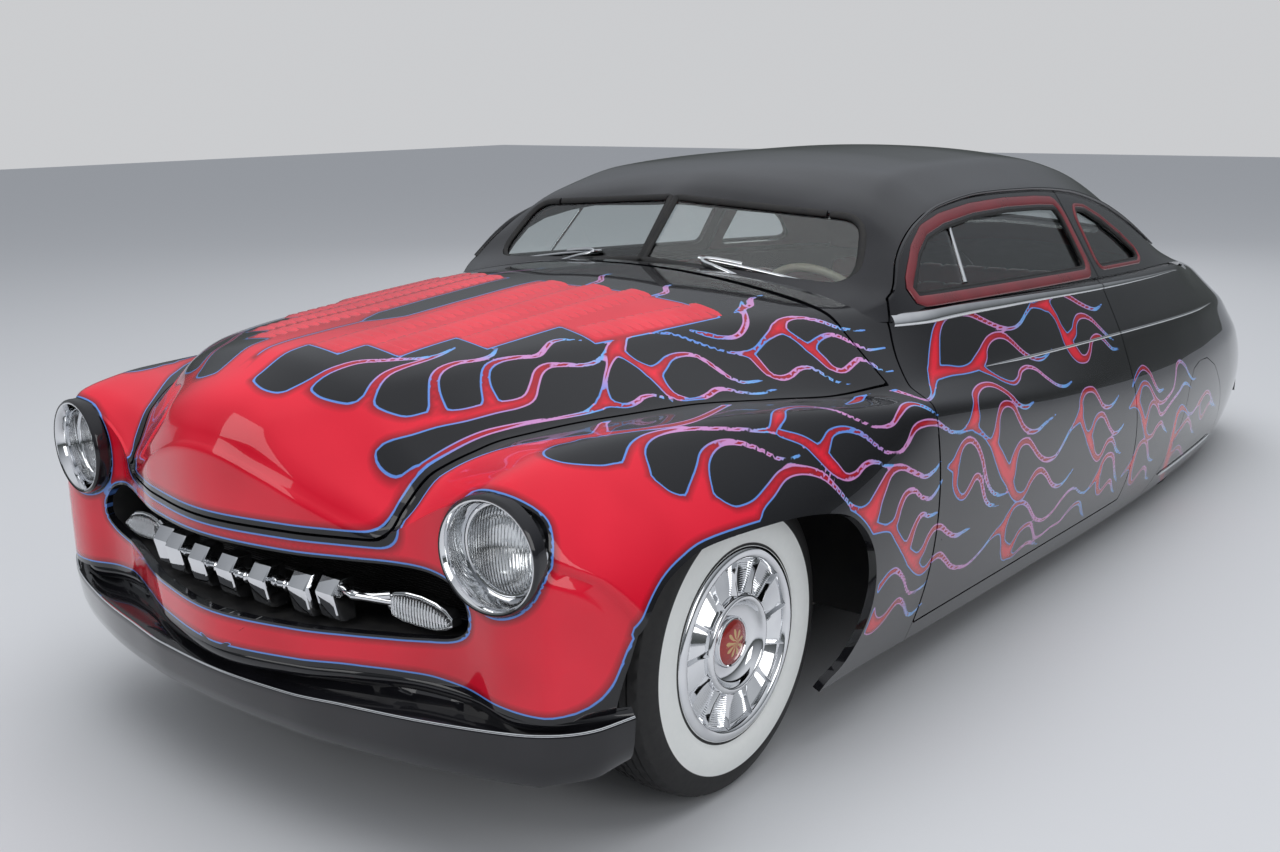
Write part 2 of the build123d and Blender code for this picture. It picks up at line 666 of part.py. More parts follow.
# Columns: y of each cross member, height of its lower face
CROSS_MEMBERS = [(-2230, 255), (-1755, 255), (-1060, 112), (-300, 112), (600, 112), (1760, 292),
                 (2300, 292)]
with BuildPart() as frame_rails:
    outline = RAIL + [(y, z + rail_depth) for y, z in reversed(RAIL)]
    for side in (1, -1):
        add(side_prism(outline, side * rail_x - rail_half, side * rail_x + rail_half))
    for y, z in CROSS_MEMBERS:
        add(block(-rail_x, rail_x, y - cross_half, y + cross_half, z, z + rail_depth - 8))
write(frame_rails.part, "frame_rails")

kingpin_x = 662.0
upright_half = 98.0
arm_sheet = 22.0           # thickness of each arm, above and below the upright
arm_half = 150.0           # half width of an arm at the frame
arm_tip_x = 676.0
arm_tip_half = 26.0
tower_outer_x = 462.0
spindle_radius = 20.0

with BuildPart() as front_arms:
    for side in (1, -1):
        root_x = side * (rail_x + rail_half)
        tip_x = side * arm_tip_x
        for low, high in ((axle_z - upright_half - arm_sheet, axle_z - upright_half - running_gap),
                          (axle_z + upright_half + running_gap, axle_z + upright_half + arm_sheet)):
            add(plan_prism([(root_x, front_axle_y - arm_half), (tip_x, front_axle_y - arm_tip_half),
                            (tip_x, front_axle_y + arm_tip_half), (root_x, front_axle_y + arm_half)],
                           low, high))
        tower = sorted((root_x, side * tower_outer_x))
        add(block(tower[0], tower[1], front_axle_y - arm_half, front_axle_y + arm_half,
                  axle_z - upright_half - arm_sheet, axle_z + upright_half + arm_sheet))
    add(block(-tower_outer_x, tower_outer_x, front_axle_y - 60, front_axle_y + 60, 200, 250))
write(front_arms.part, "front_arms")

stub_end_x = 815.0
for side, name in ((1, "knuckle_left"), (-1, "knuckle_right")):
    with BuildPart() as knuckle:
        edges = sorted((side * (kingpin_x - 22), side * (kingpin_x + 18)))
        add(block(edges[0], edges[1], front_axle_y - 30, front_axle_y + 30,
                  axle_z - upright_half, axle_z + upright_half))
        with BuildSketch(Plane.YZ.offset(side * kingpin_x)):
            with Locations((front_axle_y, axle_z)):
                Circle(spindle_radius)
        extrude(amount=side * (stub_end_x - kingpin_x))
        steer_arm = sorted((side * (kingpin_x - 60), side * (kingpin_x - 20)))
        add(block(steer_arm[0], steer_arm[1], front_axle_y + 10, front_axle_y + 130,
                  axle_z - 60, axle_z - 36))
    write(knuckle.part, name)

axle_tube_radius = 38.0
axle_tube_half = 600.0
differential_radius, differential_height = 120.0, 190.0
axle_pad_half = 32.0       # half width of the pads that the rails rest on
with BuildPart() as rear_axle:
    with BuildSketch(Plane.YZ.offset(-axle_tube_half)):
        with Locations((rear_axle_y, axle_z)):
            Circle(axle_tube_radius)
    extrude(amount=2 * axle_tube_half)
    with BuildSketch(Plane.YZ.offset(-stub_end_x)):
        with Locations((rear_axle_y, axle_z)):
            Circle(spindle_radius)
    extrude(amount=2 * stub_end_x)
    with Locations((0, rear_axle_y, axle_z)):
        Cylinder(radius=differential_radius, height=differential_height)
    for side in (1, -1):
        add(block(side * rail_x - axle_pad_half, side * rail_x + axle_pad_half, rear_axle_y - 50,
                  rear_axle_y + 50, axle_z - 60, 400))
write(rear_axle.part, "rear_axle")

gearbox_rear_y = -561.0
shaft_z = 235.0            # height of the shaft at the gearbox
shaft_radius = 35.0
with BuildPart() as driveshaft:
    shaft_front = Vector(0, gearbox_rear_y + 8, shaft_z)
    shaft_rear = Vector(0, rear_axle_y - differential_radius - 6, axle_z)
    shaft_plane = Plane(origin=shaft_front, z_dir=shaft_rear - shaft_front)
    with BuildSketch(shaft_plane):
        Circle(shaft_radius)
    extrude(amount=(shaft_rear - shaft_front).length)
    with BuildSketch(cross_plane(gearbox_rear_y + running_gap)):
        with Locations((0, shaft_z)):
            Circle(shaft_radius - 5)
    extrude(amount=-20)
write(driveshaft.part, "driveshaft")

engine_half, gearbox_half = 290.0, 110.0
engine_front_y, engine_rear_y = -2010.0, -1300.0
with BuildPart() as engine_block:
    add(block(-engine_half, engine_half, engine_front_y, engine_rear_y, 345, 880))
    add(block(-gearbox_half, gearbox_half, engine_rear_y - 10, gearbox_rear_y, 192,
              tunnel_top_z - floor_sheet - 25))
write(engine_block.part, "engine_block")

muffler_radius = 58.0
pipe_x = 520.0
pipe_radius = 28.0
pipe_front_y, pipe_length = -1200.0, 1960.0
with BuildPart() as exhaust:
    pipe_z = floor_low_z - muffler_radius - running_gap
    for side in (1, -1):
        with BuildSketch(cross_plane(pipe_front_y)):
            with Locations((side * pipe_x, pipe_z)):
                Circle(pipe_radius)
        extrude(amount=-pipe_length)
        with BuildSketch(cross_plane(-100)):
            with Locations((side * pipe_x, pipe_z)):
                Circle(muffler_radius)
        extrude(amount=-520)
write(exhaust.part, "exhaust")

tank_half = 340.0
tank_low_z = 210.0
with BuildPart() as fuel_tank:
    add(block(-tank_half, tank_half, 1810, 2250, tank_low_z, trunk_floor_z))
write(fuel_tank.part, "fuel_tank")

# Wheels: a tyre, and a rim with its dished cover, each made round the X axis
rim_radius = 195.0
wheel_bore = spindle_radius + running_gap
TYRE = [(-70, rim_radius), (-84, 215), (-95, 262), (-90, 312), (-72, 340), (-40, 350), (40, 350),
        (72, 340), (90, 312), (95, 262), (84, 215), (70, rim_radius)]
RIM = [(-72, rim_radius - running_gap), (70, rim_radius - running_gap), (88, 217), (94, 217),
       (96, 200), (90, 178), (78, 160), (72, 100), (84, 84), (92, 60), (93, 30), (88, 0)]
RIM_BACK = [(54, 0), (52, 92), (56, 160), (50, rim_radius - 16), (-72, rim_radius - 16)]
blade_count = 13

for name, x, y in (("fl", wheel_x, front_axle_y), ("fr", -wheel_x, front_axle_y),
                   ("rl", wheel_x, rear_axle_y), ("rr", -wheel_x, rear_axle_y)):
    side = 1 if x > 0 else -1
    axle_plane = Plane(origin=(x, y, axle_z), x_dir=(side, 0, 0), z_dir=(0, -side, 0))
    axis = Axis((x, y, axle_z), (1, 0, 0))
    with BuildPart() as tyre:
        with BuildSketch(axle_plane):
            with BuildLine():
                Polyline(*TYRE, close=True)
            make_face()
        revolve(axis=axis)
    write(tyre.part, f"tyre_{name}")
    with BuildPart() as wheel:
        with BuildSketch(axle_plane):
            with BuildLine():
                Polyline(*RIM, *RIM_BACK, close=True)
            make_face()
        revolve(axis=axis)
        face_plane = Plane(origin=(x + side * 66, y, axle_z), x_dir=(0, side, 0), z_dir=(side, 0, 0))
        with BuildSketch(face_plane):
            with PolarLocations(0, blade_count):
                with Locations((125, 0)):
                    Rectangle(84, 9)
        extrude(amount=20)
        with BuildSketch(Plane.YZ.offset(x)):
            with Locations((y, axle_z)):
                Circle(wheel_bore)
        extrude(amount=side * (stub_end_x - wheel_x + running_gap), mode=Mode.SUBTRACT)
    write(wheel.part, f"wheel_{name}")

radiator_y = -2240.0
radiator_sheet = 14.0
# Grille bar with its teeth and park lamp pods, behind it the radiator panel
tooth_z = 530.0
TOOTH_X = [-283.0, -215.0, -105.0, 0.0, 105.0, 215.0, 283.0]
tooth_half, tooth_half_height = 27.0, 46.0
tooth_front_y, tooth_depth = -2462.0, 58.0
pod_inner_x, pod_outer_x = 395.0, 560.0
pod_low_z, pod_high_z = 498.0, 556.0
pod_face_y = -2352.0
with BuildPart() as grille_bar:
    add(plan_prism(band([(0, -2440), (204, -2408), (358, -2366), (430, -2345)], 0, 26), 522, 546))
    for tooth_x in TOOTH_X:
        # the teeth follow the bow of the nose
        face_y = tooth_front_y + tooth_x * tooth_x * 0.00045
        add(block(tooth_x - tooth_half, tooth_x + tooth_half, face_y, face_y + tooth_depth,
                  tooth_z - tooth_half_height, tooth_z + tooth_half_height))
    for side in (1, -1):
        pod = sorted((side * pod_inner_x, side * pod_outer_x))
        add(block(pod[0], pod[1], pod_face_y, pod_face_y + 40, pod_low_z, pod_high_z))
        bracket = sorted((side * 460, side * 490))
        add(block(bracket[0], bracket[1], pod_face_y + 39, radiator_y, pod_low_z + 14, pod_high_z - 14))
write(grille_bar.part, "grille_bar")

with BuildPart() as hood_latch:
    add(body_solid(fender_wall + running_gap))
    add(block(-25, 25, radiator_y, radiator_y + radiator_sheet, 640, 1200), mode=Mode.INTERSECT)

with BuildPart() as radiator_panel:
    add(hood_latch.part)
    add(block(-570, 570, radiator_y, radiator_y + radiator_sheet, 338, 660))
write(radiator_panel.part, "radiator_panel")

lamp_rear_y = -2250.0
lamp_rim = 24.0            # width of the bright ring round each headlight
with BuildPart() as headlight_rims:
    with BuildSketch(cross_plane(lamp_rear_y)):
        with Locations((lamp_x, lamp_z), (-lamp_x, lamp_z)):
            Circle(lamp_radius)
            Circle(lamp_radius - lamp_rim, mode=Mode.SUBTRACT)
    extrude(amount=lamp_rear_y - lamp_front_y)
    with BuildSketch(cross_plane(lamp_rear_y)):
        with Locations((lamp_x, lamp_z), (-lamp_x, lamp_z)):
            Circle(lamp_radius - 10)
    extrude(amount=14)
write(headlight_rims.part, "headlight_rims")

with BuildPart() as front_lenses:
    with BuildSketch(cross_plane(lamp_front_y + 40)):
        with Locations((lamp_x, lamp_z), (-lamp_x, lamp_z)):
            Circle(lamp_radius - lamp_rim - running_gap)
    extrude(amount=28)
    for side in (1, -1):
        lens = sorted((side * (pod_inner_x + 15), side * (pod_outer_x - 12)))
        add(block(lens[0], lens[1], pod_face_y - 10, pod_face_y - running_gap, pod_low_z + 6,
                  pod_high_z - 6))
write(front_lenses.part, "front_lenses")


with BuildPart() as tail_lamps:
    add(body_outer)
    add(tail_lamp_space(1, 0), mode=Mode.INTERSECT)
    mirror(about=Plane.YZ)
write(tail_lamps.part, "tail_lamps")

# Wipers: a pivot on the riser, an arm and a blade that lies along the foot of the glass
with BuildPart() as wipers:
    with BuildSketch(pane_plane):
        with Locations((250, -34)):
            Circle(11)
    extrude(amount=12)
    with BuildSketch(pane_plane.offset(5)):
        with Locations((252, -8)):
            Rectangle(12, 62)
    extrude(amount=6)
    with BuildSketch(pane_plane.offset(2)):
        with Locations((330, 20)):
            Rectangle(460, 9)
    extrude(amount=9)
    mirror(about=Plane.YZ)
write(wipers.part, "wipers")

# Interior
dash_rear_y = -890.0
dash_half = 700.0
dash_low_z, dash_high_z = 700.0, 925.0
with BuildPart() as dashboard:
    add(block(-dash_half, dash_half, firewall_y, dash_rear_y, dash_low_z, dash_high_z))
write(dashboard.part, "dashboard")

steering_radius, steering_grip = 195.0, 12.0
wheel_rim_plane = Plane(origin=(370, -640, 860), x_dir=(1, 0, 0), z_dir=(0, 0.87, 0.5))
with BuildPart() as steering_wheel:
    with BuildSketch(wheel_rim_plane.rotated((90, 0, 0))):
        with Locations((steering_radius, 0)):
            Circle(steering_grip)
    revolve(axis=Axis(wheel_rim_plane.origin, wheel_rim_plane.z_dir))
    with BuildSketch(wheel_rim_plane):
        Rectangle(2 * steering_radius - 10, 20)
        Circle(40)
    extrude(amount=8)
    with BuildSketch(wheel_rim_plane):
        Circle(20)
    extrude(amount=-340)
    add(block(300, 440, -1200, dash_rear_y, 500, 1000), mode=Mode.SUBTRACT)
write(steering_wheel.part, "steering_wheel")

seat_half = 585.0
seat_foot_z = floor_low_z + floor_sheet + running_gap
seat_tunnel = block(-tunnel_half - floor_sheet - 1, tunnel_half + floor_sheet + 1, -300, 900, 150,
                    tunnel_top_z + 1)
with BuildPart() as front_bench:
    add(side_prism([(-170, seat_foot_z), (420, seat_foot_z), (520, 840), (500, 862), (440, 862),
                    (330, 470), (-150, 470), (-180, 440)], -690, 690))
    fillet(front_bench.edges().filter_by(Axis.X), radius=9)
    add(seat_tunnel, mode=Mode.SUBTRACT)
write(front_bench.part, "front_bench")

with BuildPart() as rear_bench:
    add(side_prism([(600, seat_foot_z), (749, seat_foot_z), (929, 511), (1010, 511), (1075, 850),
                    (1005, 862), (950, 570), (880, 550), (640, 500), (598, 470)],
                   -seat_half, seat_half))
    add(seat_tunnel, mode=Mode.SUBTRACT)
write(rear_bench.part, "rear_bench")
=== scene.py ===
# %% [markdown]
# # A chopped custom coupe with traditional flames
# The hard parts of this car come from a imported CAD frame: axles, frame rails, floors, the rear
# bumper, and the places of all hinges. This lesson dresses them. The body panels are made again as
# smooth sheet metal, painted with flames, and every other piece gets its real finish or a closer
# shape.

# %% Load the frame
import math

import bmesh
import bpy
import numpy as np
from mathutils import Matrix, Vector


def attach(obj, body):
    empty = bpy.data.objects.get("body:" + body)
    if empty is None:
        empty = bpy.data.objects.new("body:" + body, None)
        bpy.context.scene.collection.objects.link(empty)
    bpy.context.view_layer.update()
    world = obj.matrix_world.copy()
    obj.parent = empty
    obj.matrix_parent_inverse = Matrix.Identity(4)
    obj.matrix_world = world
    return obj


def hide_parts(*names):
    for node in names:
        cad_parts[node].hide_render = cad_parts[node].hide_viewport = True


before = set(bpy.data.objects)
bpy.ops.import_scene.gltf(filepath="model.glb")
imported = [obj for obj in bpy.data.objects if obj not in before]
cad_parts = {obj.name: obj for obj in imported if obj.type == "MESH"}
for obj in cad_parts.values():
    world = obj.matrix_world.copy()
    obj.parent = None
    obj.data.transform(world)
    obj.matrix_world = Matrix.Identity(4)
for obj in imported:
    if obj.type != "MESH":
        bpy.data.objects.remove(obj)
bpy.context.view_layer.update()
bpy.ops.object.select_all(action="DESELECT")

# %% [markdown]
# ## Stage and camera
# The photograph was taken from standing height, ahead of the left front wheel, with a short lens.
# A pale floor, a large soft light above and two soft side lights show the paint's gloss without
# hard shadows, and the world adds an even fill.

# %% Camera
camera_place = (2.353, -4.032, 1.501)
camera_yaw, camera_pitch, camera_roll = 38.09, 14.38, -0.68   # degrees
camera_lens, sensor_width = 37.99, 36.0
camera_rise = 0.0138

camera_data = bpy.data.cameras.new("camera")
camera_data.lens = camera_lens
camera_data.sensor_width = sensor_width
camera_data.shift_y = camera_rise
camera = bpy.data.objects.new("camera", camera_data)
bpy.context.scene.collection.objects.link(camera)
turn = (Matrix.Rotation(math.radians(camera_yaw), 4, "Z")
        @ Matrix.Rotation(math.radians(90 - camera_pitch), 4, "X")
        @ Matrix.Rotation(math.radians(camera_roll), 4, "Z"))
camera.matrix_world = Matrix.Translation(camera_place) @ turn
bpy.context.scene.camera = camera

# %% Floor and light
bpy.context.scene.view_settings.view_transform = "Standard"
grit_scale, grit_strength = 90, 0.08
floor_size = 60         # metres


def new_material(name, colour=(0.8, 0.8, 0.8), rough=0.5, metal=0.0, coat=0.0):
    """A node material; returns it with its nodes, links and principled shader."""
    material = bpy.data.materials.new(name)
    material.use_nodes = True
    nodes, links = material.node_tree.nodes, material.node_tree.links
    shader = nodes["Principled BSDF"]
    shader.inputs["Base Color"].default_value = (*colour, 1)
    shader.inputs["Roughness"].default_value = rough
    shader.inputs["Metallic"].default_value = metal
    shader.inputs["Coat Weight"].default_value = coat
    return material, nodes, links, shader


def texture(nodes, links, kind, scale, **settings):
    """A texture laid on the piece's own coordinates."""
    node = nodes.new("ShaderNodeTex" + kind)
    for label, value in dict(settings, Scale=scale).items():
        node.inputs[label].default_value = value
    links.new(nodes.new("ShaderNodeTexCoord").outputs["Object"], node.inputs["Vector"])
    return node


def bumped(nodes, links, shader, height, **settings):
    """Feed a height to a shader as small relief."""
    node = nodes.new("ShaderNodeBump")
    for label, value in settings.items():
        node.inputs[label].default_value = value
    links.new(height, node.inputs["Height"])
    links.new(node.outputs["Normal"], shader.inputs["Normal"])


def calculated(nodes, links, operation, *values):
    """One step of arithmetic; each value is a number or a socket."""
    node = nodes.new("ShaderNodeMath")
    node.operation = operation
    for socket, value in zip(node.inputs, values):
        if isinstance(value, (int, float)):
            socket.default_value = value
        else:
            links.new(value, socket)
    return node.outputs[0]


floor_material, nodes, links, shader = new_material("pale_floor", (0.60, 0.61, 0.63), 0.8)
grit = texture(nodes, links, "Noise", grit_scale)
bumped(nodes, links, shader, grit.outputs["Fac"], Strength=grit_strength)

bpy.ops.mesh.primitive_plane_add(size=floor_size, location=(0, 0, 0))
floor = bpy.context.object
floor.name = "floor"
floor.data.materials.append(floor_material)

# %% World: dim at the horizon, bright overhead, and an even pale backdrop for the camera
world = bpy.data.worlds.new("soft_world")
bpy.context.scene.world = world
world.use_nodes = True
sky, sky_links = world.node_tree.nodes, world.node_tree.links
sky["Background"].inputs["Strength"].default_value = 0.75


def coloured_ramp(nodes, links, factor, stops):
    """A colour ramp with (place, colour) stops."""
    node = nodes.new("ShaderNodeValToRGB")
    elements = node.color_ramp.elements
    for number, (spot, colour) in enumerate(stops):
        element = elements[number] if number < 2 else elements.new(spot)
        element.position = spot
        element.color = (*colour, 1)
    links.new(factor, node.inputs["Fac"])
    return node.outputs["Color"]


def mixed(nodes, links, factor, first, second):
    """Mix two colours; a colour may be a tuple or a socket."""
    node = nodes.new("ShaderNodeMix")
    node.data_type = "RGBA"
    links.new(factor, node.inputs["Factor"])
    for slot, colour in ((6, first), (7, second)):
        if isinstance(colour, tuple):
            node.inputs[slot].default_value = (*colour, 1)
        else:
            links.new(colour, node.inputs[slot])
    return node.outputs[2]


height = sky.new("ShaderNodeSeparateXYZ")
sky_links.new(sky.new("ShaderNodeTexCoord").outputs["Generated"], height.inputs["Vector"])
halfway = calculated(sky, sky_links, "MULTIPLY_ADD", height.outputs["Z"], 0.5, 0.5)
dome = coloured_ramp(sky, sky_links, halfway, ((0.52, (0.10, 0.11, 0.11)), (0.66, (0.34, 0.36, 0.39)),
                                               (0.95, (0.85, 0.88, 0.93))))
seen = sky.new("ShaderNodeLightPath").outputs["Is Camera Ray"]
sky_links.new(mixed(sky, sky_links, seen, dome, (0.80, 0.81, 0.83)), sky["Background"].inputs["Color"])


# %% Soft square lamps
def soft_light(name, place, aim, size, power):
    """A square area light that shines from place at aim."""
    data = bpy.data.lights.new(name, "AREA")
    data.shape = "SQUARE"
    data.size = size
    data.energy = power
    lamp = bpy.data.objects.new(name, data)
    bpy.context.scene.collection.objects.link(lamp)
    direction = Vector(aim) - Vector(place)
    lamp.matrix_world = Matrix.Translation(place) @ direction.to_track_quat("-Z", "Y").to_matrix().to_4x4()
    return lamp


sky_light = soft_light("sky_light", (0.5, -0.5, 7.5), (0, 0, 0.5), 9.0, 420)
sky_light.visible_glossy = False
soft_light("left_light", (7.5, -3.5, 3.6), (0, -0.6, 0.5), 4.0, 110)
soft_light("front_light", (-2.5, -8.5, 3.8), (0, -1.0, 0.5), 4.0, 90)
rear_light = soft_light("rear_light", (-4.0, 7.0, 4.0), (0, 1.0, 0.6), 4.0, 80)
rear_light.visible_glossy = False
print("camera and lights ready")

# %% [markdown]
# ## The shape of the body
# A steel body is a skin that flows from nose to tail. It could be sculpted by hand, but here it is
# drawn as a shipwright would: a few cross sections with the same named points (sill, widest point,
# fender crest, valley, shoulder, centre line), smoothed along the car and rounded across it. The
# values are the drawing's own, in millimetres; the meshes are scaled to metres when they are made.

# %% Stations of the body, in millimetres
# y, sill x and z, widest x and z, fender crest x and z, valley x and z, shoulder x and z, top z
MM = 0.001
NOSE_Y = -2495.0
BODY_ROWS = [
    (-2495, 560, 250, 640, 420, 560, 600, 380, 590, 120, 800, 850),
    (-2440, 640, 230, 730, 430, 640, 720, 400, 655, 160, 880, 925),
    (-2365, 740, 210, 835, 450, 700, 825, 450, 700, 230, 905, 968),
    (-2290, 800, 190, 880, 480, 712, 848, 484, 790, 300, 935, 1000),
    (-2150, 840, 170, 925, 500, 725, 860, 543, 842, 370, 964, 1013),
    (-1955, 865, 160, 948, 510, 762, 856, 612, 853, 410, 980, 1024),
    (-1755, 875, 155, 957, 510, 800, 846, 674, 852, 455, 984, 1040),
    (-1500, 880, 150, 960, 500, 855, 822, 742, 832, 525, 982, 1056),
    (-1300, 880, 146, 960, 490, 900, 796, 797, 811, 600, 978, 1058),
    (-1050, 880, 135, 958, 480, 938, 762, 862, 803, 700, 974, 1057),
    (-800, 880, 124, 960, 460, 942, 728, 868, 790, 796, 972, 1000),
    (-300, 880, 106, 964, 430, 942, 660, 880, 762, 803, 950, 975),
    (300, 880, 84, 965, 400, 938, 600, 888, 735, 803, 915, 940),
    (900, 878, 75, 958, 385, 930, 560, 882, 705, 788, 885, 905),
    (1300, 866, 75, 942, 380, 915, 545, 866, 685, 764, 868, 885),
    (1700, 845, 80, 912, 380, 885, 530, 825, 670, 700, 815, 912),
    (2000, 800, 95, 868, 380, 840, 520, 775, 645, 640, 772, 880),
    (2250, 730, 120, 800, 378, 768, 505, 700, 605, 555, 700, 795),
    (2370, 650, 160, 722, 370, 690, 480, 620, 560, 470, 635, 712),
    (2450, 530, 200, 590, 365, 556, 440, 490, 495, 360, 540, 580),
]
NOSE_PLAN = [(0, -2495), (230, -2458), (358, -2415), (450, -2380), (530, -2356), (600, -2350), (700, -2362),
             (800, -2345), (862, -2262), (905, -2205), (1000, -2080)]

# %% Smooth curves through the stations
def smooth_through(knots, values, where):
    """Monotone cubic through the knots, for one or more columns of values."""
    knots = np.asarray(knots, float)
    values = np.asarray(values, float)
    values = values[:, None] if values.ndim == 1 else values
    where = np.clip(np.asarray(where, float), knots[0], knots[-1])
    step = np.diff(knots)[:, None]
    slope = np.diff(values, axis=0) / step
    tangent = np.zeros_like(values)
    left, right = slope[:-1], slope[1:]
    w1 = 2 * step[1:] + step[:-1]
    w2 = step[1:] + 2 * step[:-1]
    same = left * right > 0
    safe_left = np.where(same, left, 1.0)
    safe_right = np.where(same, right, 1.0)
    tangent[1:-1] = np.where(same, (w1 + w2) / (w1 / safe_left + w2 / safe_right), 0.0)
    tangent[0] = slope[0]
    tangent[-1] = slope[-1]
    at = np.clip(np.searchsorted(knots, where, side="right") - 1, 0, len(knots) - 2)
    width = step[at]
    t = ((where - knots[at])[:, None]) / width
    h00 = (1 + 2 * t) * (1 - t) ** 2
    h10 = t * (1 - t) ** 2
    h01 = t * t * (3 - 2 * t)
    h11 = t * t * (t - 1)
    return h00 * values[at] + h10 * width * tangent[at] + h01 * values[at + 1] + h11 * width * tangent[at + 1]


def arc_through(a, b, c, count):
    """count points along the circle from a over b to c; the inputs are (n, 2) arrays."""
    ax, ay = a.T
    bx, by = b.T
    cx, cy = c.T
    d = 2 * (ax * (by - cy) + bx * (cy - ay) + cx * (ay - by))
    d = np.where(abs(d) < 1e-6, 1e-6, d)
    ux = ((ax ** 2 + ay ** 2) * (by - cy) + (bx ** 2 + by ** 2) * (cy - ay) + (cx ** 2 + cy ** 2) * (ay - by)) / d
    uy = ((ax ** 2 + ay ** 2) * (cx - bx) + (bx ** 2 + by ** 2) * (ax - cx) + (cx ** 2 + cy ** 2) * (bx - ax)) / d
    start = np.arctan2(ay - uy, ax - ux)
    middle = np.arctan2(by - uy, bx - ux)
    end = np.arctan2(cy - uy, cx - ux)
    turn_mid = (middle - start + math.pi) % (2 * math.pi) - math.pi
    turn_end = (end - middle + math.pi) % (2 * math.pi) - math.pi
    turn = turn_mid + turn_end
    radius = np.hypot(ax - ux, ay - uy)
    part = np.linspace(0, 1, count)
    angle = start[:, None] + turn[:, None] * part
    return np.stack([ux[:, None] + radius[:, None] * np.cos(angle),
                     uy[:, None] + radius[:, None] * np.sin(angle)], axis=2)


def run(a, b, count):
    part = np.linspace(0, 1, count)[None, :, None]
    return a[:, None, :] * (1 - part) + b[:, None, :] * part


# %% Cross sections
SEGMENTS = (64, 20, 24, 52)     # steps from sill to crest, valley, shoulder and centre line
VALLEY = SEGMENTS[0] + SEGMENTS[1]
ROUND = 2.6


def blur(points, spread):
    """Round a row of section curves along their length, mirrored at the centre line."""
    reach = int(spread * 3) + 1
    kernel = np.exp(-0.5 * (np.arange(-reach, reach + 1) / spread) ** 2)
    kernel /= kernel.sum()
    head = 2 * points[:, :1] - points[:, reach:0:-1]
    tail = points[:, -2:-reach - 2:-1].copy()
    tail[..., 0] *= -1
    padded = np.concatenate([head, points, tail], axis=1)
    out = np.zeros_like(points)
    for k, weight in enumerate(kernel):
        out += weight * padded[:, k:k + points.shape[1]]
    out[:, -1, 0] = 0
    return out


def body_sections(ys):
    """Section curves of the body at each y: (n, steps + 1, 2) points of x and z."""
    rows = np.array(BODY_ROWS, float)
    c = smooth_through(rows[:, 0], rows[:, 1:], ys)
    sill, wide, crest, valley, shoulder = (c[:, 2 * k:2 * k + 2] for k in range(5))
    top = np.stack([np.zeros(len(c)), c[:, 10]], axis=1)
    low = arc_through(sill, wide, crest, SEGMENTS[0] + 1)
    rise = run(crest, valley, SEGMENTS[1] + 1)[:, 1:]
    wall = run(valley, shoulder, SEGMENTS[2] + 1)[:, 1:]
    other = shoulder * np.array([-1.0, 1.0])
    crown = arc_through(shoulder, top, other, 2 * SEGMENTS[3] + 1)[:, 1:SEGMENTS[3] + 1]
    return blur(np.concatenate([low, rise, wall, crown], axis=1), ROUND)


def section_at(u_index, ys):
    """Points of the section curves at one y for each curve place, by interpolation in a fine table."""
    f = np.clip((ys - FINE_Y[0]) / (FINE_Y[1] - FINE_Y[0]), 0, len(FINE_Y) - 1.001)
    low = f.astype(int)
    part = (f - low)[..., None]
    return FINE[low, u_index] * (1 - part) + FINE[low + 1, u_index] * part


FINE_Y = np.arange(NOSE_Y, 2450.1, 5.0)
FINE = body_sections(FINE_Y)


def nose_plan(x):
    half = np.array(NOSE_PLAN, float)
    pts = np.vstack([half[:0:-1] * (-1, 1), half])
    return smooth_through(pts[:, 0], pts[:, 1], x)[:, 0]


# %% The grid of the left half, with the nose rolled round its plan curve
JOIN_Y = -2060.0
EDGE_ROUND = 40.0
CENTRE = np.array([0.0, 384.0])
CAP_REACH = 820.0
TAIL_CENTRE = np.array([0.0, 215.0])
TAIL_FACE_Y = 2450.0
TAIL_ROUND = 34.0
SIDE_START_Y = -2400.0
TAIL_TURN_ROWS, TAIL_FACE_ROWS = 8, 24


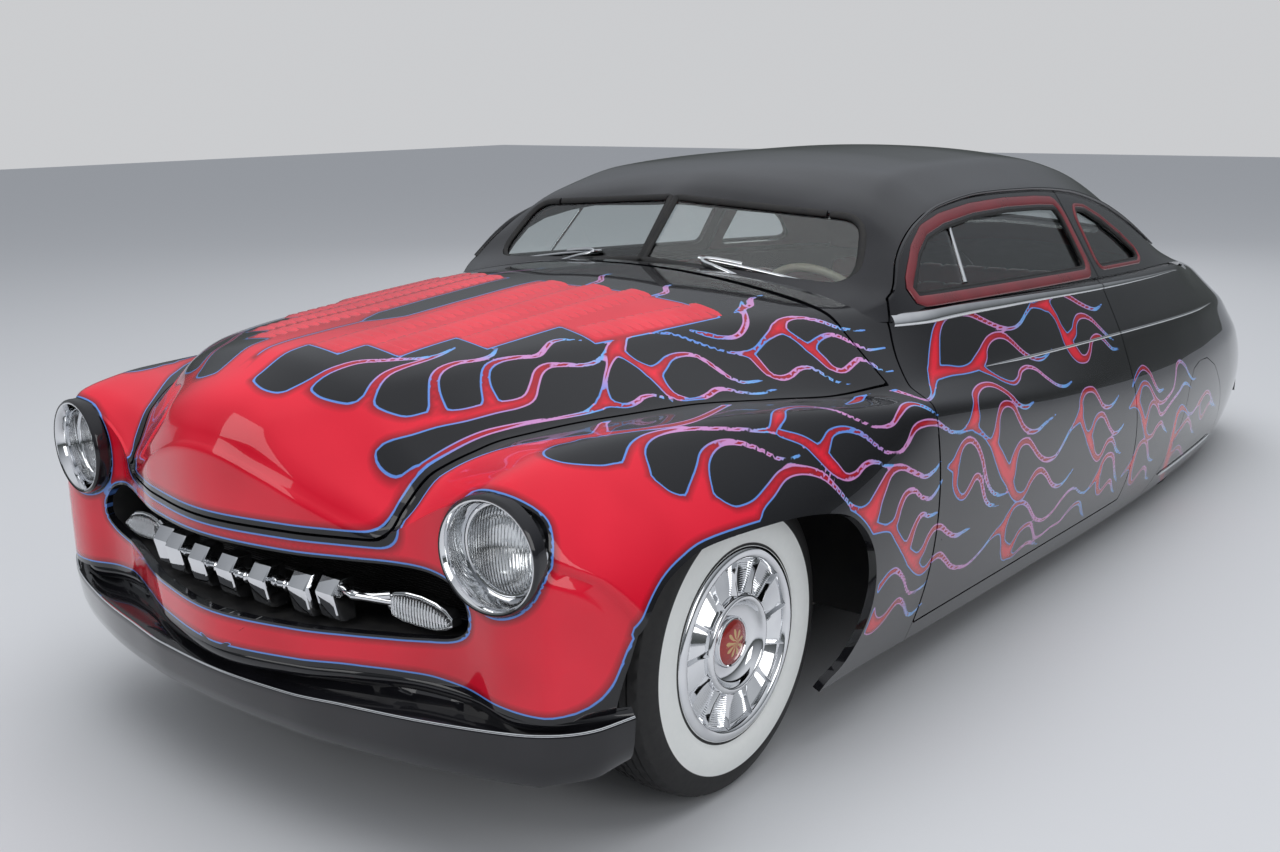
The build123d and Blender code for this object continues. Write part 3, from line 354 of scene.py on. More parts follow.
def body_grid(step):
    """Grid of the left half of the body, nose cap first: its points and its place along the skin."""
    u = np.arange(FINE.shape[1])
    rows, chart = [], []

    def add_row(spot, y, place):
        rows.append(np.stack([spot[:, 0], y, spot[:, 1]], axis=1))
        chart.append(place)

    low, high = np.full(len(u), NOSE_Y), np.full(len(u), JOIN_Y)
    for _ in range(30):
        middle = (low + high) / 2
        x = section_at(u, middle)[:, 0]
        outside = middle < nose_plan(x)
        low = np.where(outside, middle, low)
        high = np.where(outside, high, middle)
    front = (low + high) / 2
    ring = section_at(u, front)
    inward = CENTRE - ring
    reach = np.hypot(*inward.T)
    inward = inward / reach[:, None]
    caps = int(CAP_REACH / step)
    for k in range(caps, 0, -1):
        d = reach * k / caps
        angle = np.radians(45 + 45 * np.clip(d / EDGE_ROUND, 0, 1))
        radial = np.where(d < EDGE_ROUND, EDGE_ROUND * (1 - np.cos(angle)), d)
        axial = np.where(d < EDGE_ROUND, EDGE_ROUND * (1 - np.sin(angle)), 0)
        spot = ring + inward * radial[:, None]
        add_row(spot, nose_plan(spot[:, 0]) + axial, front - d)
    count = int((JOIN_Y - SIDE_START_Y) / step)
    for j in range(count):
        y = front + (JOIN_Y - front) * (j / count)
        e = y - front
        angle = np.radians(45 * (1 - np.clip(e / EDGE_ROUND, 0, 1)))
        radial = np.where(e < EDGE_ROUND, EDGE_ROUND * (1 - np.cos(angle)), 0)
        yy = np.where(e < EDGE_ROUND, front + EDGE_ROUND * (1 - np.sin(angle)), y)
        spot = section_at(u, yy) + inward * radial[:, None]
        add_row(spot, yy, yy)
    back = TAIL_FACE_Y - TAIL_ROUND
    count = int((back - JOIN_Y) / step)
    for j in range(count + 1):
        y = np.full(len(u), JOIN_Y + (back - JOIN_Y) * j / count)
        add_row(section_at(u, y), y, y)
    last = section_at(u, np.full(len(u), TAIL_FACE_Y))
    inward = TAIL_CENTRE - last
    reach = np.hypot(*inward.T)
    inward = inward / reach[:, None]
    for k in range(1, TAIL_TURN_ROWS + 1):
        angle = math.pi / 2 * k / TAIL_TURN_ROWS
        y = np.full(len(u), back + TAIL_ROUND * math.sin(angle))
        add_row(section_at(u, y) + inward * TAIL_ROUND * (1 - math.cos(angle)), y, y)
    for k in range(1, TAIL_FACE_ROWS + 1):
        share = k / TAIL_FACE_ROWS
        add_row(last + inward * (TAIL_ROUND + (reach - TAIL_ROUND) * share)[:, None], y, y + reach * share)
    return np.array(rows), np.array(chart)


# %% [markdown]
# ## Laying out the flames
# Traditional flames are painted by hand: a red field at the nose, then long licks that curl back
# round black teardrops. A lick is a curve with a width that tapers to nothing. Each one is given
# here by a few points of (y, drop, half width), where drop is the distance down the skin from the
# valley beside the hood. The distance to the nearest lick is stored on the skin as an attribute,
# so that the material can draw a crisp edge, a pinstripe and a soft halo at any size.

# %% Licks of the front fender and the valley
FENDER_LICKS = [
    [(-2060, 240, 28), (-2020, 185, 14), (-1960, 152, 8), (-1880, 141, 5.5), (-1780, 147, 4), (-1690, 156, 4),
     (-1640, 158, 6)],
    [(-1950, 320, 36), (-1905, 250, 15), (-1870, 210, 11), (-1820, 185, 7), (-1770, 183, 6), (-1720, 200, 5),
     (-1680, 222, 4), (-1640, 228, 3), (-1590, 212, 1)],
    [(-1860, 375, 44), (-1800, 332, 16), (-1740, 297, 13), (-1680, 262, 11), (-1620, 252, 10), (-1560, 262, 9),
     (-1520, 290, 6), (-1480, 330, 5), (-1450, 352, 10)],
    [(-2150, 85, 28), (-2050, 105, 18), (-1950, 118, 10), (-1880, 118, 9), (-1820, 105, 8), (-1760, 80, 7),
     (-1700, 50, 6), (-1640, 20, 5), (-1570, -5, 1)],
    [(-2060, 115, 10), (-2020, 85, 12), (-1985, 50, 9), (-1960, 25, 6), (-1930, 12, 1)],
    [(-1650, 157, 6), (-1600, 120, 14), (-1560, 90, 9), (-1510, 72, 7), (-1460, 74, 7), (-1425, 97, 4),
     (-1380, 125, 3), (-1310, 147, 2.5), (-1250, 138, 4), (-1210, 110, 6), (-1170, 85, 7), (-1130, 75, 7),
     (-1090, 90, 4), (-1045, 112, 1)],
    [(-1630, 165, 10), (-1570, 185, 14), (-1535, 215, 20), (-1505, 245, 20), (-1470, 268, 9), (-1430, 262, 6),
     (-1390, 240, 5), (-1350, 230, 4.5), (-1310, 238, 3), (-1270, 232, 1)],
    [(-1530, 215, 18), (-1500, 190, 12), (-1470, 165, 8), (-1420, 155, 7), (-1370, 165, 6), (-1330, 190, 4.5),
     (-1290, 207, 3.5), (-1240, 205, 3), (-1200, 180, 4), (-1160, 142, 7), (-1110, 128, 8), (-1060, 130, 7),
     (-1020, 145, 5), (-980, 160, 4), (-930, 165, 3.5), (-895, 158, 6)],
    [(-1470, 342, 8), (-1430, 362, 24), (-1390, 352, 26), (-1360, 320, 18), (-1330, 290, 13), (-1290, 255, 8),
     (-1240, 240, 7), (-1180, 252, 6), (-1130, 260, 4.5), (-1080, 245, 3), (-1045, 224, 1)],
    [(-1400, 385, 18), (-1340, 388, 9), (-1300, 385, 12), (-1280, 368, 10), (-1260, 335, 8), (-1230, 305, 6.5),
     (-1190, 295, 6), (-1150, 312, 5), (-1100, 315, 3.5), (-1060, 290, 2.5), (-1040, 273, 1)],
    [(-1300, 388, 14), (-1270, 415, 14), (-1235, 437, 14), (-1210, 430, 14), (-1190, 395, 9), (-1165, 365, 6),
     (-1140, 355, 5), (-1100, 362, 4), (-1055, 354, 1)],
    [(-1240, 437, 14), (-1190, 465, 20), (-1150, 470, 16), (-1120, 450, 12), (-1100, 420, 9), (-1070, 398, 8),
     (-1030, 400, 7), (-980, 425, 6), (-930, 440, 5), (-880, 435, 3), (-835, 429, 1)],
    [(-1190, 470, 18), (-1150, 490, 18), (-1110, 508, 12), (-1080, 505, 9), (-1050, 485, 8), (-1010, 480, 8),
     (-970, 500, 7), (-920, 530, 6), (-860, 545, 4.5), (-800, 545, 3.5), (-740, 520, 3.5), (-690, 488, 4),
     (-660, 476, 8)],
    [(-1420, 375, 18), (-1425, 420, 9), (-1415, 460, 7), (-1405, 495, 8), (-1398, 535, 14), (-1380, 585, 28),
     (-1350, 630, 30), (-1310, 640, 20), (-1270, 625, 11), (-1230, 590, 8), (-1200, 582, 8), (-1160, 600, 6),
     (-1120, 630, 5), (-1080, 635, 4), (-1030, 610, 1)],
    [(-1375, 555, 18), (-1340, 533, 9), (-1300, 505, 7.5), (-1260, 497, 7), (-1210, 520, 5.5), (-1170, 555, 4.5),
     (-1130, 568, 3.5), (-1080, 560, 2.5), (-1045, 543, 1)],
    [(-1330, 62, 3), (-1270, 40, 9), (-1220, 10, 8), (-1170, 0, 7), (-1130, 6, 7), (-1100, 32, 5),
     (-1075, 58, 3.5), (-1050, 66, 3), (-1000, 50, 4), (-955, 22, 8)],
]

# %% Licks of the door
DOOR_LICKS = [
    [(-955, 22, 8), (-920, -5, 16), (-880, -42, 22), (-845, -90, 18), (-820, -120, 14), (-780, -145, 10),
     (-730, -157, 9), (-680, -157, 9), (-620, -150, 8), (-560, -130, 7), (-500, -110, 6), (-440, -95, 5),
     (-380, -90, 3.5), (-320, -100, 3.5), (-260, -125, 4), (-200, -148, 6)],
    [(-910, -12, 20), (-830, -10, 15), (-760, -3, 11), (-700, -5, 13), (-650, -16, 20), (-612, -32, 20),
     (-588, -52, 13), (-550, -70, 10), (-500, -78, 9), (-450, -72, 9), (-410, -50, 8), (-370, -20, 7),
     (-320, 5, 6), (-270, 15, 5), (-220, 10, 3), (-165, -5, 1)],
    [(-650, 0, 14), (-610, 25, 8), (-570, 50, 7), (-520, 65, 6), (-470, 55, 5), (-430, 35, 5), (-380, 28, 5),
     (-330, 40, 5), (-290, 70, 5), (-240, 100, 4), (-180, 112, 3), (-115, 104, 1)],
    [(-895, 158, 6), (-865, 150, 16), (-838, 135, 24), (-825, 108, 14), (-800, 80, 10), (-750, 60, 8),
     (-700, 52, 7), (-650, 58, 8), (-610, 80, 9), (-580, 105, 8), (-550, 128, 6), (-500, 140, 5),
     (-440, 130, 1)],
    [(-850, 160, 12), (-800, 186, 6), (-760, 210, 10), (-735, 212, 20), (-715, 188, 17), (-697, 150, 10),
     (-670, 125, 9), (-630, 118, 8), (-590, 130, 9), (-560, 165, 9), (-530, 195, 8), (-480, 212, 6),
     (-430, 212, 4), (-380, 200, 3), (-290, 184, 1)],
    [(-735, 222, 20), (-700, 262, 26), (-660, 302, 28), (-620, 318, 26), (-605, 280, 20), (-580, 250, 12),
     (-550, 235, 9), (-510, 235, 9), (-480, 250, 9), (-440, 280, 8), (-400, 300, 7), (-350, 310, 6),
     (-300, 305, 4), (-250, 280, 3.5), (-200, 250, 3.5), (-155, 233, 5)],
    [(-640, 320, 24), (-592, 373, 16), (-550, 390, 12), (-510, 385, 10), (-480, 357, 9), (-440, 335, 9),
     (-400, 335, 8), (-360, 355, 7), (-310, 390, 6), (-260, 405, 5), (-210, 400, 3), (-145, 368, 1)],
    [(-1015, 245, 3), (-985, 247, 14), (-965, 240, 18), (-948, 218, 12), (-920, 196, 8), (-880, 190, 7.5),
     (-840, 210, 8), (-810, 250, 8), (-785, 300, 6.5), (-750, 340, 5), (-700, 362, 4), (-640, 366, 1)],
    [(-968, 262, 16), (-970, 300, 12), (-942, 330, 9), (-910, 335, 8), (-880, 315, 8), (-850, 292, 8),
     (-820, 300, 8), (-795, 340, 7), (-770, 370, 6), (-730, 388, 4), (-675, 393, 1)],
    [(-690, 488, 4), (-650, 475, 12), (-620, 468, 20), (-600, 440, 14), (-570, 415, 8), (-520, 412, 6),
     (-470, 430, 5.5), (-420, 465, 5), (-370, 492, 4.5), (-310, 503, 4.5), (-250, 490, 4), (-200, 460, 4),
     (-150, 440, 3.5), (-100, 440, 3), (-50, 462, 3), (0, 474, 3), (45, 460, 4)],
    [(-615, 480, 18), (-592, 520, 12), (-565, 548, 20), (-525, 568, 26), (-505, 540, 14), (-488, 510, 9),
     (-450, 497, 7), (-410, 500, 6), (-370, 530, 5), (-330, 560, 4.5), (-280, 563, 3.5), (-220, 550, 3),
     (-150, 544, 3.5), (-110, 520, 5), (-60, 503, 6), (-10, 510, 6), (40, 550, 5), (95, 582, 1)],
    [(-520, 575, 18), (-470, 591, 7), (-430, 577, 5), (-380, 568, 5), (-330, 580, 3.5), (-275, 596, 1)],
    [(-205, -145, 6), (-150, -143, 12), (-95, -140, 22), (-70, -158, 12), (-20, -165, 8), (40, -167, 8),
     (100, -150, 8), (160, -125, 7), (220, -105, 6), (280, -95, 4), (345, -106, 1)],
    [(-80, -130, 20), (-58, -98, 15), (-48, -60, 16), (-32, -12, 30), (-8, 22, 30), (30, 46, 15), (70, 48, 10),
     (110, 30, 7), (150, 0, 7), (200, -10, 7), (240, 0, 7), (280, 30, 6), (310, 45, 4), (365, 49, 1)],
    [(-10, -25, 16), (40, -40, 14), (70, -65, 10), (110, -82, 9), (160, -82, 8), (210, -65, 7), (250, -35, 6),
     (290, -5, 5), (335, 17, 1)],
]

# %% Licks of the quarter and the fender skirt
QUARTER_LICKS = [
    [(-160, 234, 5), (-112, 216, 16), (-90, 200, 18), (-80, 170, 12), (-50, 150, 9), (-10, 143, 8),
     (40, 150, 9), (70, 175, 8), (100, 205, 6.5), (150, 218, 5), (200, 212, 3), (255, 194, 1)],
    [(-95, 220, 16), (-62, 268, 11), (-35, 290, 18), (-12, 312, 20), (20, 350, 12), (60, 370, 10),
     (92, 360, 8), (130, 330, 7), (170, 325, 7), (200, 340, 7), (230, 370, 5), (285, 391, 1)],
    [(-35, 290, 18), (-2, 268, 11), (22, 245, 9), (60, 232, 8), (100, 237, 8), (130, 262, 8), (160, 290, 6),
     (200, 310, 5), (250, 305, 3), (295, 288, 1)],
    [(40, 461, 4), (75, 440, 14), (98, 428, 20), (108, 400, 12), (132, 380, 8), (170, 375, 7), (210, 390, 7),
     (240, 430, 6), (270, 465, 5), (315, 496, 1)],
    [(95, 435, 18), (112, 468, 15), (132, 492, 12), (160, 503, 9), (190, 490, 7), (220, 476, 7), (250, 487, 6),
     (290, 520, 4), (335, 541, 1)],
    [(395, 184, 2), (440, 160, 6), (500, 138, 7), (550, 135, 8), (600, 160, 8), (630, 200, 7), (670, 230, 5),
     (735, 228, 1)],
    [(345, 247, 3), (390, 238, 12), (425, 233, 22), (458, 210, 14), (490, 190, 9), (530, 186, 8),
     (570, 200, 8), (610, 240, 8), (650, 265, 7), (700, 275, 5), (760, 265, 4), (830, 245, 3), (870, 212, 3),
     (910, 168, 5), (960, 158, 5), (1010, 180, 6), (1045, 216, 5), (1090, 240, 3), (1155, 238, 1)],
    [(430, 238, 20), (462, 272, 15), (490, 312, 18), (512, 322, 18), (532, 296, 10), (562, 268, 8),
     (600, 260, 7), (640, 280, 7), (670, 310, 6), (710, 315, 5), (760, 300, 4), (830, 280, 3.5),
     (900, 263, 3.5), (960, 243, 4), (1010, 247, 4), (1065, 272, 1)],
    [(500, 325, 18), (522, 358, 13), (552, 376, 9), (600, 378, 7), (640, 355, 6), (690, 345, 6),
     (730, 370, 5), (785, 396, 1)],
    [(345, 482, 3), (390, 460, 9), (428, 447, 22), (445, 412, 12), (470, 390, 8), (510, 383, 7),
     (550, 397, 7), (590, 440, 6), (630, 470, 5), (695, 486, 1)],
    [(430, 455, 20), (447, 490, 15), (472, 522, 12), (510, 538, 8), (550, 512, 6), (590, 495, 6),
     (640, 515, 5), (690, 555, 4), (755, 572, 1)],
    [(905, 330, 10), (878, 360, 18), (868, 410, 22), (878, 465, 24), (905, 520, 26), (945, 575, 26),
     (1010, 625, 18), (1090, 652, 6)],
    [(880, 345, 14), (930, 326, 12), (985, 340, 8), (1045, 365, 5), (1105, 368, 3.5), (1160, 352, 4),
     (1200, 340, 10), (1235, 328, 8), (1290, 317, 6.5), (1345, 327, 6), (1400, 360, 5), (1460, 393, 4),
     (1525, 411, 1)],
    [(880, 440, 18), (930, 418, 12), (985, 398, 9), (1040, 386, 7), (1095, 408, 6), (1155, 448, 4.5),
     (1225, 471, 1)],
    [(905, 520, 20), (955, 497, 12), (1005, 490, 9), (1065, 510, 7), (1130, 540, 5), (1220, 570, 3),
     (1300, 600, 1)],
    [(1200, 345, 9), (1222, 385, 10), (1262, 412, 9), (1300, 402, 7), (1340, 378, 6), (1385, 372, 5),
     (1435, 396, 1)],
]

# %% Licks of the hood
HOOD_LICKS = [
    [(-2370, -25, 24), (-2310, -38, 8), (-2240, -37, 7), (-2160, -36, 6), (-2080, -32, 4), (-2010, -27, 3),
     (-1960, -28, 4), (-1920, -38, 9)],
    [(-2390, -200, 44), (-2330, -185, 34), (-2280, -135, 22), (-2230, -115, 20), (-2180, -95, 16),
     (-2120, -92, 15), (-2070, -88, 12), (-2035, -98, 10), (-2000, -132, 8), (-1965, -167, 8),
     (-1930, -183, 7), (-1890, -178, 6), (-1850, -170, 4.5), (-1810, -180, 3.5), (-1770, -205, 2.5),
     (-1735, -228, 1)],
    [(-2215, -125, 16), (-2195, -172, 10), (-2172, -208, 8), (-2140, -230, 7), (-2100, -238, 6),
     (-2060, -232, 4.5), (-2020, -242, 3), (-1985, -272, 1)],
    [(-2115, -105, 16), (-2092, -160, 9), (-2060, -200, 7), (-2020, -218, 6), (-1980, -221, 5.5),
     (-1930, -219, 4.5), (-1890, -245, 4), (-1860, -265, 4.5), (-1830, -270, 4.5), (-1795, -256, 1)],
    [(-2320, -215, 24), (-2297, -228, 12), (-2265, -253, 9), (-2230, -270, 7.5), (-2190, -276, 6.5),
     (-2150, -279, 5), (-2100, -290, 4), (-2045, -312, 1)],
    [(-2370, -345, 20), (-2330, -348, 9), (-2290, -349, 7.5), (-2240, -345, 7), (-2200, -322, 6),
     (-2150, -297, 4), (-2110, -290, 2)],
    [(-1925, -38, 6), (-1895, -50, 13), (-1878, -72, 9), (-1858, -98, 4), (-1830, -130, 3), (-1800, -160, 4),
     (-1772, -188, 10), (-1742, -210, 17), (-1712, -232, 12), (-1680, -250, 5), (-1610, -252, 1)],
    [(-1895, -50, 14), (-1862, -30, 7), (-1830, -35, 5), (-1800, -48, 4.5), (-1772, -46, 3.5),
     (-1748, -18, 1)],
    [(-1745, -205, 16), (-1735, -160, 11), (-1722, -120, 18), (-1730, -75, 12), (-1733, -42, 11),
     (-1715, -20, 9), (-1690, -15, 6), (-1650, -25, 5.5), (-1610, -42, 6), (-1580, -41, 5),
     (-1550, -26, 4), (-1500, -20, 3), (-1445, -31, 1)],
    [(-1722, -115, 18), (-1680, -136, 11), (-1640, -160, 8), (-1600, -168, 7), (-1566, -158, 6),
     (-1551, -120, 6), (-1540, -78, 5), (-1510, -58, 4), (-1450, -65, 1)],
    [(-1610, -252, 2), (-1565, -240, 4), (-1530, -205, 4.5), (-1490, -170, 3.5), (-1455, -155, 5),
     (-1425, -145, 11), (-1425, -110, 10), (-1425, -82, 9), (-1405, -66, 8), (-1370, -72, 6),
     (-1330, -90, 5), (-1300, -92, 5), (-1280, -75, 4), (-1262, -42, 3), (-1225, -25, 1)],
    [(-1430, -148, 10), (-1392, -165, 5), (-1350, -190, 5.5), (-1312, -208, 10), (-1282, -222, 15),
     (-1250, -245, 9), (-1205, -251, 6), (-1160, -227, 5.5), (-1120, -192, 4), (-1055, -170, 1)],
    [(-1510, -247, 3), (-1480, -225, 9), (-1450, -211, 6), (-1410, -212, 5), (-1360, -245, 5.5),
     (-1320, -290, 5), (-1280, -340, 4), (-1235, -385, 1)],
    [(-1285, -222, 14), (-1265, -185, 9), (-1250, -142, 13), (-1243, -112, 12), (-1238, -82, 9),
     (-1213, -68, 6), (-1170, -85, 5.5), (-1140, -95, 5), (-1117, -76, 4), (-1103, -52, 3),
     (-1065, -44, 1)],
    [(-1250, -145, 13), (-1220, -165, 7), (-1180, -179, 5.5), (-1150, -174, 5), (-1120, -141, 4.5),
     (-1090, -116, 3), (-1035, -110, 1)],
    [(-1430, -470, 3), (-1390, -480, 6), (-1350, -500, 5), (-1310, -545, 4), (-1260, -570, 1)],
    [(-1330, -310, 2), (-1290, -330, 6), (-1250, -345, 5), (-1205, -390, 4), (-1150, -410, 1)],
    [(-1470, -620, 3), (-1430, -640, 6), (-1390, -665, 5), (-1340, -720, 4), (-1290, -745, 1)],
]

# %% The red fields that the licks grow from
# the nose and fender fronts as a smooth outline of (y, drop), and the louvred field as (x, y)
NOSE_FIELD = [
    (-3100, -1100), (-2420, -1000), (-2395, -640), (-2330, -530), (-2375, -490), (-2396, -430), (-2385, -380),
    (-2350, -352), (-2346, -300), (-2325, -250), (-2300, -225), (-2290, -190), (-2282, -155), (-2250, -128),
    (-2290, -126), (-2330, -134), (-2339, -105), (-2328, -65), (-2300, -47), (-2330, -25), (-2380, 5),
    (-2350, 16), (-2300, 14), (-2250, 20), (-2200, 36), (-2150, 55), (-2100, 75), (-2080, 105), (-2110, 128),
    (-2150, 134), (-2190, 155), (-2213, 185), (-2214, 206), (-2190, 221), (-2130, 227), (-2085, 222),
    (-2050, 240), (-2030, 270), (-2012, 293), (-1980, 303), (-1940, 302), (-1905, 306), (-1885, 320),
    (-1850, 335), (-1815, 340), (-1850, 376), (-1900, 400), (-2000, 435), (-2100, 500), (-2160, 570),
    (-2195, 650), (-2230, 760), (-2700, 1000), (-3100, 1000)]
LOUVRE_FIELD = [
    (0, -2480), (60, -2440), (66, -2245), (160, -2245), (163, -2170), (262, -2170), (264, -2005),
    (355, -2005), (360, -1775), (462, -1775), (530, -1385), (420, -1390), (300, -1430), (150, -1490),
    (50, -1500), (46, -1950), (20, -2010), (0, -2040)]


# %% Distances
def through_points(points, closed, per_span):
    """A smooth run of values through given points."""
    pts = np.asarray(points, float)
    if closed:
        pts = np.vstack([pts[-1], pts, pts[0], pts[1]])
    else:
        pts = np.vstack([2 * pts[0] - pts[1], pts, 2 * pts[-1] - pts[-2]])
    t = np.linspace(0, 1, per_span, endpoint=False)[:, None]
    spans = []
    for a, b, c, d in zip(pts, pts[1:], pts[2:], pts[3:]):
        spans.append(0.5 * (2 * b + (c - a) * t + (2 * a - 5 * b + 4 * c - d) * t ** 2
                            + (3 * b - a - 3 * c + d) * t ** 3))
    if not closed:
        spans.append(pts[-2:-1])
    return np.vstack(spans)


def polygon_distance(px, py, outline):
    """Signed distance to a closed outline, negative inside."""
    pts = np.asarray(outline, float)
    best = np.full(px.shape, 1e12)
    sign = np.ones(px.shape)
    for (ax, ay), (bx, by) in zip(pts, np.roll(pts, 1, axis=0)):
        ex, ey = bx - ax, by - ay
        wx, wy = px - ax, py - ay
        t = np.clip((wx * ex + wy * ey) / max(ex * ex + ey * ey, 1e-9), 0, 1)
        best = np.minimum(best, (wx - ex * t) ** 2 + (wy - ey * t) ** 2)
        above, below = py >= ay, py < by
        left = ex * wy > ey * wx
        flip = (above & below & left) | (~above & ~below & ~left)
        sign = np.where(flip, -sign, sign)
    return sign * np.sqrt(best)


def smooth_max(a, b, soft):
    """The larger of two fields, with a rounded crease."""
    mix = np.clip(0.5 + 0.5 * (a - b) / soft, 0, 1)
    return b * (1 - mix) + a * mix + soft * mix * (1 - mix)


FLAME_REACH, LICK_BLEND = 90.0, 7.0


def lay_flames(y, drop, x):
    """How deep each point of the skin lies inside the red, and how near to a lick's tip it is."""
    depth = np.full(y.shape, -FLAME_REACH)
    tip = np.zeros(y.shape)
    field = -polygon_distance(y, drop, through_points(NOSE_FIELD, True, 5))
    depth = np.maximum(depth, field)
    louvred = -polygon_distance(x, y, LOUVRE_FIELD)
    depth = np.maximum(depth, np.where(drop < -180, louvred, -FLAME_REACH))
    for lick in FENDER_LICKS + DOOR_LICKS + QUARTER_LICKS + HOOD_LICKS:
        path = through_points(lick, False, 6)
        low = path[:, :2].min(axis=0) - FLAME_REACH
        high = path[:, :2].max(axis=0) + FLAME_REACH
        near = np.nonzero((y > low[0]) & (y < high[0]) & (drop > low[1]) & (drop < high[1]))[0]
        if not len(near):
            continue
        py, pa = y[near], drop[near]
        best = np.full(len(near), -1e9)
        along = np.zeros(len(near))
        steps = len(path) - 1
        for k in range(steps):
            ay, aa, aw = path[k]
            by, ba, bw = path[k + 1]
            ey, ea = by - ay, ba - aa
            t = np.clip(((py - ay) * ey + (pa - aa) * ea) / max(ey * ey + ea * ea, 1e-9), 0, 1)
            inside = aw + (bw - aw) * t - np.hypot(py - ay - ey * t, pa - aa - ea * t)
            better = inside > best
            best = np.where(better, inside, best)
            along = np.where(better, (k + t) / steps, along)
        old = depth[near]
        tip[near] = np.where(best > old, along, tip[near])
        depth[near] = smooth_max(old, best, LICK_BLEND)
    return depth, tip


# %% [markdown]
# ## Cutting the skin into panels
# A body maker cuts panels from a sheet along drawn lines. Booleans on so dense a skin are slow and
# leave rough edges, so each line is written as a field that is negative where metal stays. Faces
# that cross a line are cut exactly on it, and all that is stored on the skin is carried along.

# %% Skin and cutting
SKIN_STEP = 11.0
merge_gap = 0.0006      # metres
X, Y, Z, DEPTH, TIP = range(5)
FAR = 1e4


def grid_faces(rows, columns):
    """Faces of a grid whose outer side is +X for rows that run back and columns that run up."""
    i = np.arange(rows * columns).reshape(rows, columns)
    return np.stack([i[:-1, :-1], i[1:, :-1], i[1:, 1:], i[:-1, 1:]], axis=-1).reshape(-1, 4)


def clip(points, faces, field):
    """Keep the side of the skin on which field is negative, and cut the faces that cross it."""
    value = field(points)
    inside = value < 0
    square = np.array([f for f in faces if len(f) == 4], int).reshape(-1, 4)
    other = [f for f in faces if len(f) != 4]
    flags = inside[square]
    whole = square[flags.all(axis=1)]
    mixed = [tuple(f) for f in square[flags.any(axis=1) & ~flags.all(axis=1)]]
    kept = [tuple(f) for f in whole]
    added, made = [], {}

    def crossing(a, b):
        key = (a, b) if a < b else (b, a)
        if key not in made:
            part = value[a] / (value[a] - value[b])
            made[key] = len(points) + len(added)
            added.append(points[a] + (points[b] - points[a]) * part)
        return made[key]

    for face in mixed + other:
        loop = []
        for a, b in zip(face, face[1:] + face[:1]):
            if inside[a]:
                loop.append(a)
            if inside[a] != inside[b]:
                loop.append(crossing(a, b))
        if len(loop) > 2:
            kept.append(tuple(loop))
    if added:
        points = np.vstack([points, added])
    return points, kept


def compact(points, faces):
    """Drop the points that no face uses."""
    used = np.unique(np.concatenate([np.asarray(f) for f in faces]))
    index = np.full(len(points), -1)
    index[used] = np.arange(len(used))
    return points[used], [tuple(int(index[v]) for v in f) for f in faces]


def mirrored(points, faces):
    """The same skin on the other side of the car."""
    other = points.copy()
    other[:, X] *= -1
    return other, [f[::-1] for f in faces]


def joined(*skins):
    """Several skins as one."""
    points, faces, count = [], [], 0
    for pts, fcs in skins:
        points.append(pts)
        faces += [tuple(v + count for v in f) for f in fcs]
        count += len(pts)
    return np.vstack(points), faces


def outside(outline_field, gap=0.0):
    """Keep what lies outside a line, at least gap away from it."""
    return lambda p: gap - outline_field(p)


def within(outline_field, gap=0.0):
    """Keep what lies inside a line, at least gap away from it."""
    return lambda p: outline_field(p) + gap


def picked(piece):
    """Make a piece the only one that operators act on."""
    bpy.ops.object.select_all(action="DESELECT")
    piece.select_set(True)
    bpy.context.view_layer.objects.active = piece


def placed_object(name, mesh, *materials):
    """Put a mesh into the scene with its materials."""
    for material in materials:
        mesh.materials.append(material)
    piece = bpy.data.objects.new(name, mesh)
    bpy.context.scene.collection.objects.link(piece)
    return piece


def put(piece, slot, body="root", *nodes):
    """Attach a piece to its body and hide the CAD nodes that it stands for; its slot is not used."""
    if nodes:
        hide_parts(*nodes)
    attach(piece, body)
    return piece


def store(mesh, label, values):
    """Keep one value per point on a mesh."""
    mesh.attributes.new(label, "FLOAT", "POINT").data.foreach_set("value", values.astype(np.float32))


def skin_object(name, points, faces, wall, materials, sink=0.0):
    """A panel with thickness, made from a skin sunk inwards; materials: outside, inside, edge."""
    points, faces = compact(points, faces)
    mesh = bpy.data.meshes.new(name)
    mesh.from_pydata((points[:, :3] * MM).tolist(), [], faces)
    store(mesh, "depth", points[:, DEPTH])
    store(mesh, "tip", points[:, TIP])
    shape = bmesh.new()
    shape.from_mesh(mesh)
    bmesh.ops.remove_doubles(shape, verts=shape.verts, dist=merge_gap)
    bmesh.ops.dissolve_degenerate(shape, edges=shape.edges, dist=merge_gap / 3)
    if sink:
        shape.normal_update()
        for vertex, normal in [(v, v.normal.copy()) for v in shape.verts]:
            vertex.co -= normal * sink * MM
    shape.to_mesh(mesh)
    shape.free()
    panel = placed_object(name, mesh, *materials)
    picked(panel)
    bpy.ops.object.shade_smooth()
    thick = panel.modifiers.new("wall", "SOLIDIFY")
    thick.thickness = wall * MM
    thick.offset = -1
    thick.material_offset = 1
    thick.material_offset_rim = 2
    bpy.ops.object.modifier_apply(modifier="wall")
    bpy.ops.object.shade_smooth_by_angle(angle=math.radians(40))
    print(name, "faces", len(panel.data.polygons))
    return panel


# %% The painted skin of the left half
rows, chart_y = body_grid(SKIN_STEP)
steps = np.hypot(*np.moveaxis(np.diff(rows[..., (0, 2)], axis=1), -1, 0))
arc = np.concatenate([np.zeros((len(rows), 1)), np.cumsum(steps, axis=1)], axis=1)
drop = arc[:, VALLEY][:, None] - arc
cap_rows = int(CAP_REACH / SKIN_STEP)
drop[:cap_rows] = drop[cap_rows]
flat = rows.reshape(-1, 3)
depth, tip = lay_flames(chart_y.ravel(), drop.ravel(), flat[:, 0])
body_points = np.column_stack([flat, depth, tip])
body_faces = [tuple(f) for f in grid_faces(*rows.shape[:2])]
print("skin points", len(body_points))

